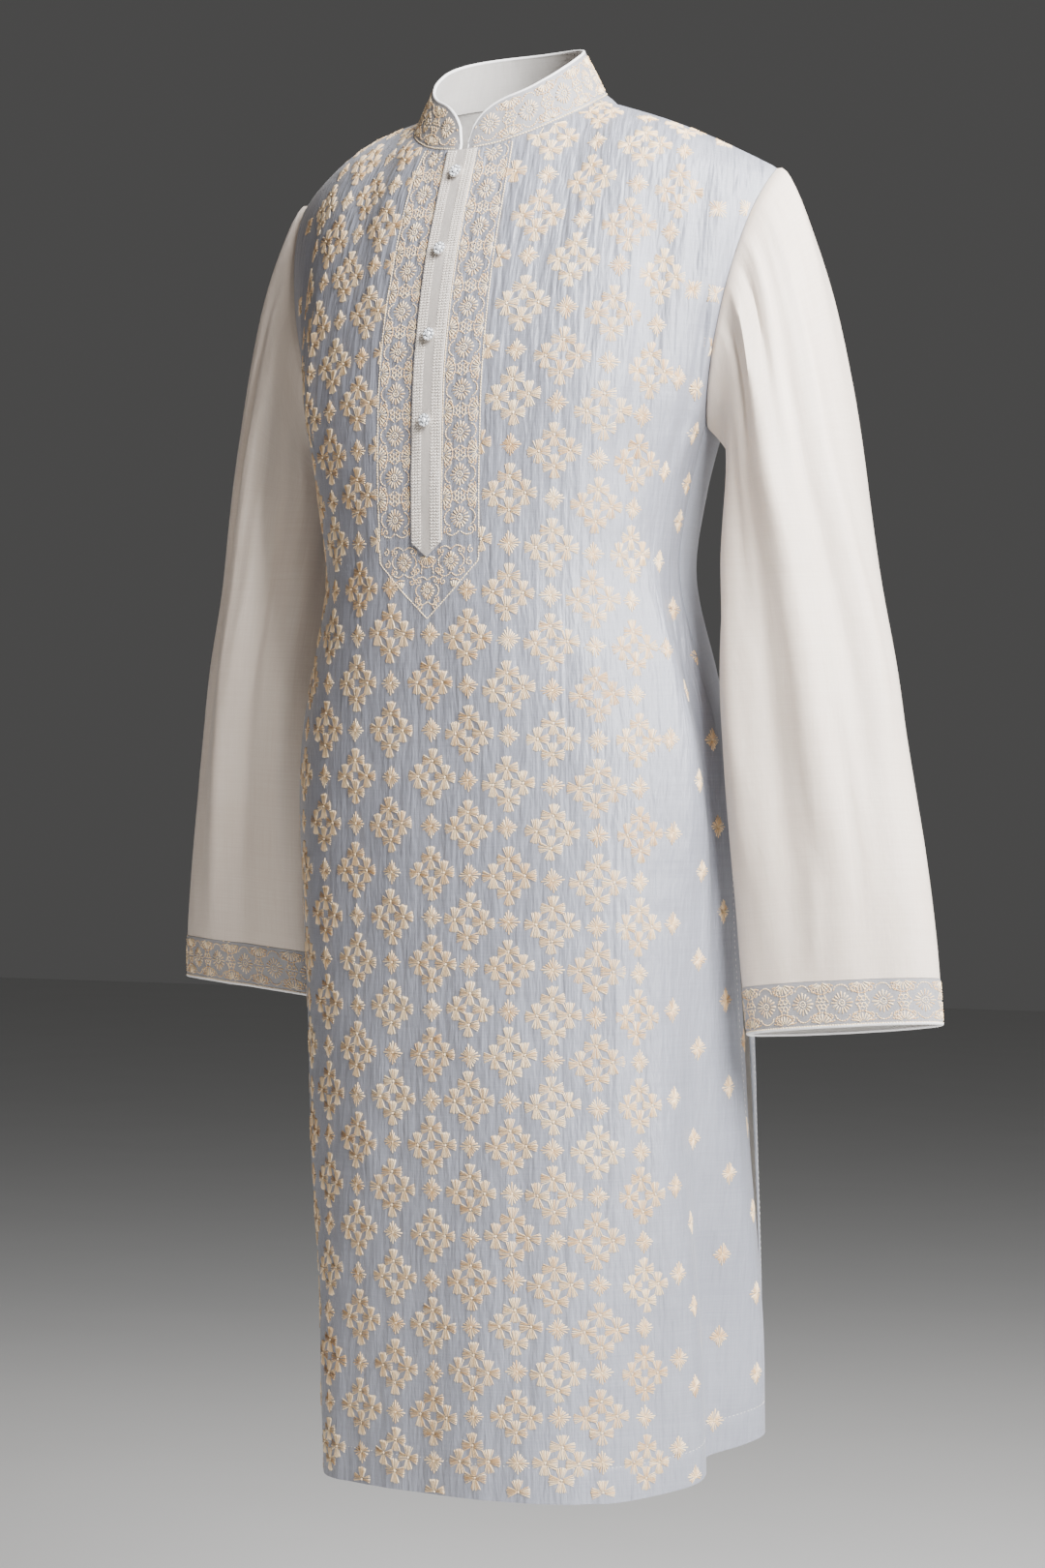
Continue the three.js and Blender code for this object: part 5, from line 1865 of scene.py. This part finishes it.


# Fixing pieces to the body
def settle(piece, slot, *nodes):
    """Fixes a piece to the body and hides the nodes that it stands for. The slot is not used."""
    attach(piece, BODY_NAME)
    if nodes:
        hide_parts(*nodes)
    return piece


def dress():
    sleeves = {name: Sleeve(name) for name in ("left", "right")}
    front, front_flat = body_panel("front", FRONT_GRID, BODY_SHADED_LOOK)
    back, back_flat = body_panel("back", BACK_GRID, BACK_SHADED_LOOK)
    settle(front, "body_cloth", "front_panel")
    settle(back, "body_cloth", "back_panel")

    groups, stars = lattice()
    on_front = []
    for place, work in groups.items():
        on_front.append(embroidered(f"flower_groups_{place}", work, front_at, THREAD_LOOK, 11))
    on_front.append(embroidered("small_stars", stars, front_at, THREAD_LOOK, 13))
    on_front.append(embroidered("front_bands", bands(), front_at, THREAD_LOOK, 15))
    seams = seam_work()
    on_front.append(embroidered("front_hem_stitches", seams, panel_at("front"), WHITE_THREAD_LOOK, 17))
    on_back = [embroidered("back_hem_stitches", seams, panel_at("back"), WHITE_THREAD_LOOK, 19)]
    for piece in on_front + on_back:
        settle(piece, "trim_cloth")

    for name, sleeve in sleeves.items():
        (tube_piece, tube_flat), (cuff, cuff_flat) = sleeve_pieces(sleeve)
        settle(tube_piece, "sleeve_cloth", f"sleeve_{name}")
        settle(cuff, "trim_cloth", f"cuff_{name}")
        cloth = CuffCloth(sleeve)
        seed = 110 + sleeve.side
        work = embroidered(f"cuff_work_{name}", cuff_work(cloth, seed), cloth.at, THREAD_LOOK, 21)
        piping = cuff_piping(sleeve)
        settle(work, "trim_cloth")
        settle(piping, "trim_cloth")

    collar, collar_flat = collar_piece()
    settle(collar, "trim_cloth", "collar")
    work = settle(embroidered("collar_work", collar_work(), collar_at, THREAD_LOOK, 25), "trim_cloth")
    piping = settle(collar_piping(), "trim_cloth")

    placket, placket_flat = placket_piece()
    settle(placket, "placket_cloth", "placket")
    work = embroidered("placket_stitches", placket_work(), placket_at, WHITE_THREAD_LOOK, 27)
    settle(work, "placket_cloth")

    for k, drop in enumerate(BUTTONS["drops"], 1):
        settle(button(k, drop), "button_stone", f"button_{k}")
    for template in THREADS.values():
        bpy.data.objects.remove(template)


# Floor, light and camera
FLOOR_Z = -1.49
VIEW = {"azimuth": 34, "distance": 3.0, "height": -0.53, "focal_px": 4080, "centre_px": (527, 830)}
PHOTO = (1080, 1620)
SENSOR = 36.0

# Lamps: name, azimuth, elevation, distance, size, power, colour and the height they aim at
LAMPS = (
    ("key", 70, 32, 2.3, 1.2, 275, (0.98, 0.985, 1.0), -0.4),
    ("top", 120, 62, 2.8, 1.2, 70, (1.0, 0.99, 0.98), -0.5),
    ("left", -55, 12, 3.4, 2.2, 5, (1.0, 0.62, 0.42), -0.5),
    ("rear", 215, 35, 3.4, 2.4, 10, (1.0, 0.88, 0.78), -0.5),
)
WORLD = {"colour": (0.93, 0.92, 0.91, 1), "strength": 0.08}


def stage():
    """A plain pale floor, below the garment as in the photo."""
    mesh = bpy.data.meshes.new("floor")
    reach = 14.0
    corners = [(x * reach, y * reach, FLOOR_Z) for x, y in ((-1, -1), (1, -1), (1, 1), (-1, 1))]
    mesh.from_pydata(corners, [], [(0, 1, 2, 3)])
    mesh.materials.append(floor_look())
    floor = bpy.data.objects.new("floor", mesh)
    bpy.context.scene.collection.objects.link(floor)


def lights():
    """Soft lamps and a faint even light from all round."""
    for name, azimuth, elevation, distance, size, power, colour, height in LAMPS:
        light = bpy.data.lights.new(name, "AREA")
        light.shape = "RECTANGLE"
        light.size = light.size_y = size
        light.energy = power
        light.color = colour
        a, e = math.radians(azimuth), math.radians(elevation)
        back = Vector((math.sin(a) * math.cos(e), -math.cos(a) * math.cos(e), math.sin(e)))
        made = bpy.data.objects.new(name, light)
        made.location = Vector((0, 0, height)) + back * distance
        made.rotation_mode = "QUATERNION"
        made.rotation_quaternion = back.to_track_quat("Z", "Y")
        bpy.context.scene.collection.objects.link(made)
    world = bpy.data.worlds.new("studio")
    world.use_nodes = True
    shade = world.node_tree.nodes["Background"]
    shade.inputs["Color"].default_value = WORLD["colour"]
    shade.inputs["Strength"].default_value = WORLD["strength"]
    bpy.context.scene.world = world


def camera():
    """The camera at the photo's place, with its lens and its shift."""
    data = bpy.data.cameras.new("camera")
    made = bpy.data.objects.new("camera", data)
    bpy.context.scene.collection.objects.link(made)
    a = math.radians(VIEW["azimuth"])
    back = Vector((math.sin(a), -math.cos(a), 0))
    made.location = back * VIEW["distance"] + Vector((0, 0, VIEW["height"]))
    made.rotation_mode = "QUATERNION"
    made.rotation_quaternion = (-back).to_track_quat("-Z", "Y")
    width, height = PHOTO
    data.sensor_width = SENSOR
    data.lens = SENSOR * VIEW["focal_px"] / height
    data.shift_x = (width / 2 - VIEW["centre_px"][0]) / height
    data.shift_y = (VIEW["centre_px"][1] - height / 2) / height
    data.clip_end = 60
    bpy.context.scene.camera = made


stage()
lights()
camera()
dress()

bpy.context.view_layer.update()
